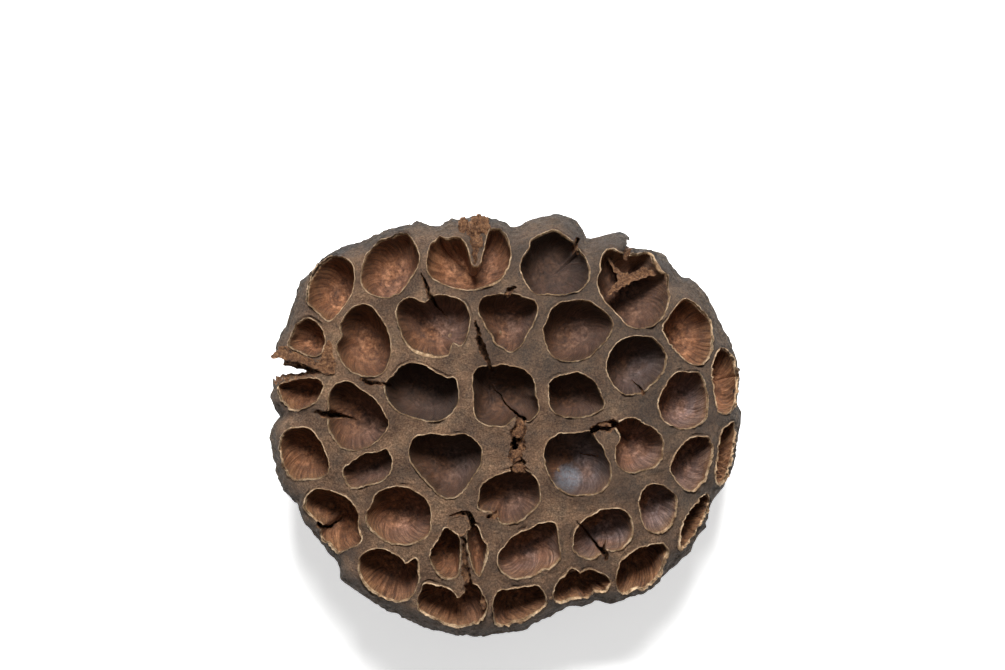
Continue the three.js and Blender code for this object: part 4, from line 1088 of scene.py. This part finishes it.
scrap_edge = 90  # points round a scrap's edge
scrap_spacing = 0.3
for number, (outline, under, thickness, slope, bare_edge) in enumerate(scraps):
    edge = smooth_loop(outline, scrap_edge)
    frayed = waver(np.column_stack([edge, edge[:, 0] * 0]), 0.7, number, 3)
    edge += outward_normals(edge) * (0.4 * frayed)[:, None]
    low, high = edge.min(0), edge.max(0)
    fill = np.array([(x, y) for x in np.arange(low[0], high[0], scrap_spacing)
                     for y in np.arange(low[1], high[1], scrap_spacing)])
    fill = fill[inside(fill, edge)]
    fill = np.array([p for p in fill if np.hypot(*(edge - p).T).min() > 0.2])
    made = delaunay_2d_cdt([Vector(p) for p in np.vstack([edge, fill])],
                           [(i, (i + 1) % scrap_edge) for i in range(scrap_edge)], [], 1, 1e-7)
    plan = np.array([tuple(p) for p in made[0]])
    to_edge = np.array([np.hypot(*(edge - p).T).min() for p in plan])
    spots = np.column_stack([plan, plan[:, 0] * 0])
    lift = -under + 0.35 * waver(spots, 1.6, number + 3, 3) + 0.3 * np.exp(-to_edge / 0.5)
    if bare_edge > 1:  # a scrap that is bare all over is rough too, and may hang down
        fall = slope * (plan[:, 1] - 35.5 - 0.3 * (plan[:, 0] - 30))
        lift += 0.5 * waver(spots, 0.8, number + 8, 3) - fall
    top, _ = on_face(plan, lift)
    under_side = top - np.array([0, 0, thickness])
    count = len(plan)
    faces = [tuple(corners) for corners in made[2]]
    faces += [tuple(count + i for i in reversed(corners)) for corners in made[2]]
    for i in range(scrap_edge):
        after = (i + 1) % scrap_edge
        faces.append((i, count + i, count + after, after))
    bare = np.clip(1 - to_edge / bare_edge, 0, 1)
    bright = np.exp(-to_edge / 0.2) * 0.8
    bare_both = np.concatenate([bare * (1 - 0.7 * bright), np.ones(count)])
    bright_both = np.concatenate([bright, np.zeros(count)])
    add_part(np.vstack([top, under_side]), faces, bare_both, bright_both)

points, faces, bare, bright = [], [], [], []
start = 0
for part_points, part_faces, part_bare, part_bright in parts:
    faces += [tuple(start + i for i in corners) for corners in part_faces]
    start += len(part_points)
    points.append(part_points)
    bare.append(part_bare)
    bright.append(part_bright)
mesh = bpy.data.meshes.new("torn_fibres")
mesh.from_pydata([tuple(p) for p in np.vstack(points) * MM], [], faces)
write_layer(mesh, "tissue", np.concatenate(bare))
write_layer(mesh, "rim", np.concatenate(bright))
fibres = bpy.data.objects.new("torn_fibres", mesh)
bpy.context.collection.objects.link(fibres)
bpy.ops.object.select_all(action="DESELECT")
fibres.select_set(True)
bpy.context.view_layer.objects.active = fibres
bpy.ops.object.mode_set(mode="EDIT")
bpy.ops.mesh.select_all(action="SELECT")
bpy.ops.mesh.normals_make_consistent(inside=False)
bpy.ops.object.mode_set(mode="OBJECT")
bpy.ops.object.shade_smooth_by_angle(angle=math.radians(50))
fibres.data.materials.append(tissue)
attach(fibres, "root")

# ---------------------------------------------------------------- floor, light and camera
# The head stands on a plain pale floor. A key softbox lights it from the far side and a broad one
# from above, and a long lens looks straight down into its face.
bpy.ops.mesh.primitive_plane_add(size=6)
floor = bpy.context.object
floor.name = "floor"
paper = bpy.data.materials.new("floor_paper")
paper.use_nodes = True
paper_look = paper.node_tree.nodes["Principled BSDF"].inputs
paper_look["Base Color"].default_value = (0.93, 0.93, 0.92, 1)
paper_look["Roughness"].default_value = 0.8
paper_look["Emission Color"].default_value = (1, 1, 1, 1)
paper_look["Emission Strength"].default_value = 0.6
floor.data.materials.append(paper)

world = bpy.data.worlds.new("studio")
bpy.context.scene.world = world
world.use_nodes = True
world.node_tree.nodes["Background"].inputs["Color"].default_value = (1, 1, 1, 1)
world.node_tree.nodes["Background"].inputs["Strength"].default_value = 0.04


def softbox(name, place, size, power):
    light = bpy.data.lights.new(name, "AREA")
    light.size = size
    light.energy = power
    lamp = bpy.data.objects.new(name, light)
    bpy.context.collection.objects.link(lamp)
    lamp.location = place
    lamp.rotation_euler = (Vector((0, 0, 0.04)) - Vector(place)).to_track_quat("-Z", "Y").to_euler()


softbox("key", (0.0, 0.58, 1.14), 0.34, 36)
softbox("top", (0.1, 0.2, 1.9), 1.2, 3.5)

lens = 200
film_width = 36
view_width = 0.2233
camera = bpy.data.objects.new("camera", bpy.data.cameras.new("camera"))
bpy.context.collection.objects.link(camera)
camera.data.lens = lens
camera.data.sensor_width = film_width
camera.data.clip_end = 20
camera.location = (-0.001, 0.0207, 0.050 + view_width * lens / film_width)
camera.rotation_euler = (0, 0, 0)
bpy.context.scene.camera = camera
bpy.context.scene.view_settings.view_transform = "Standard"
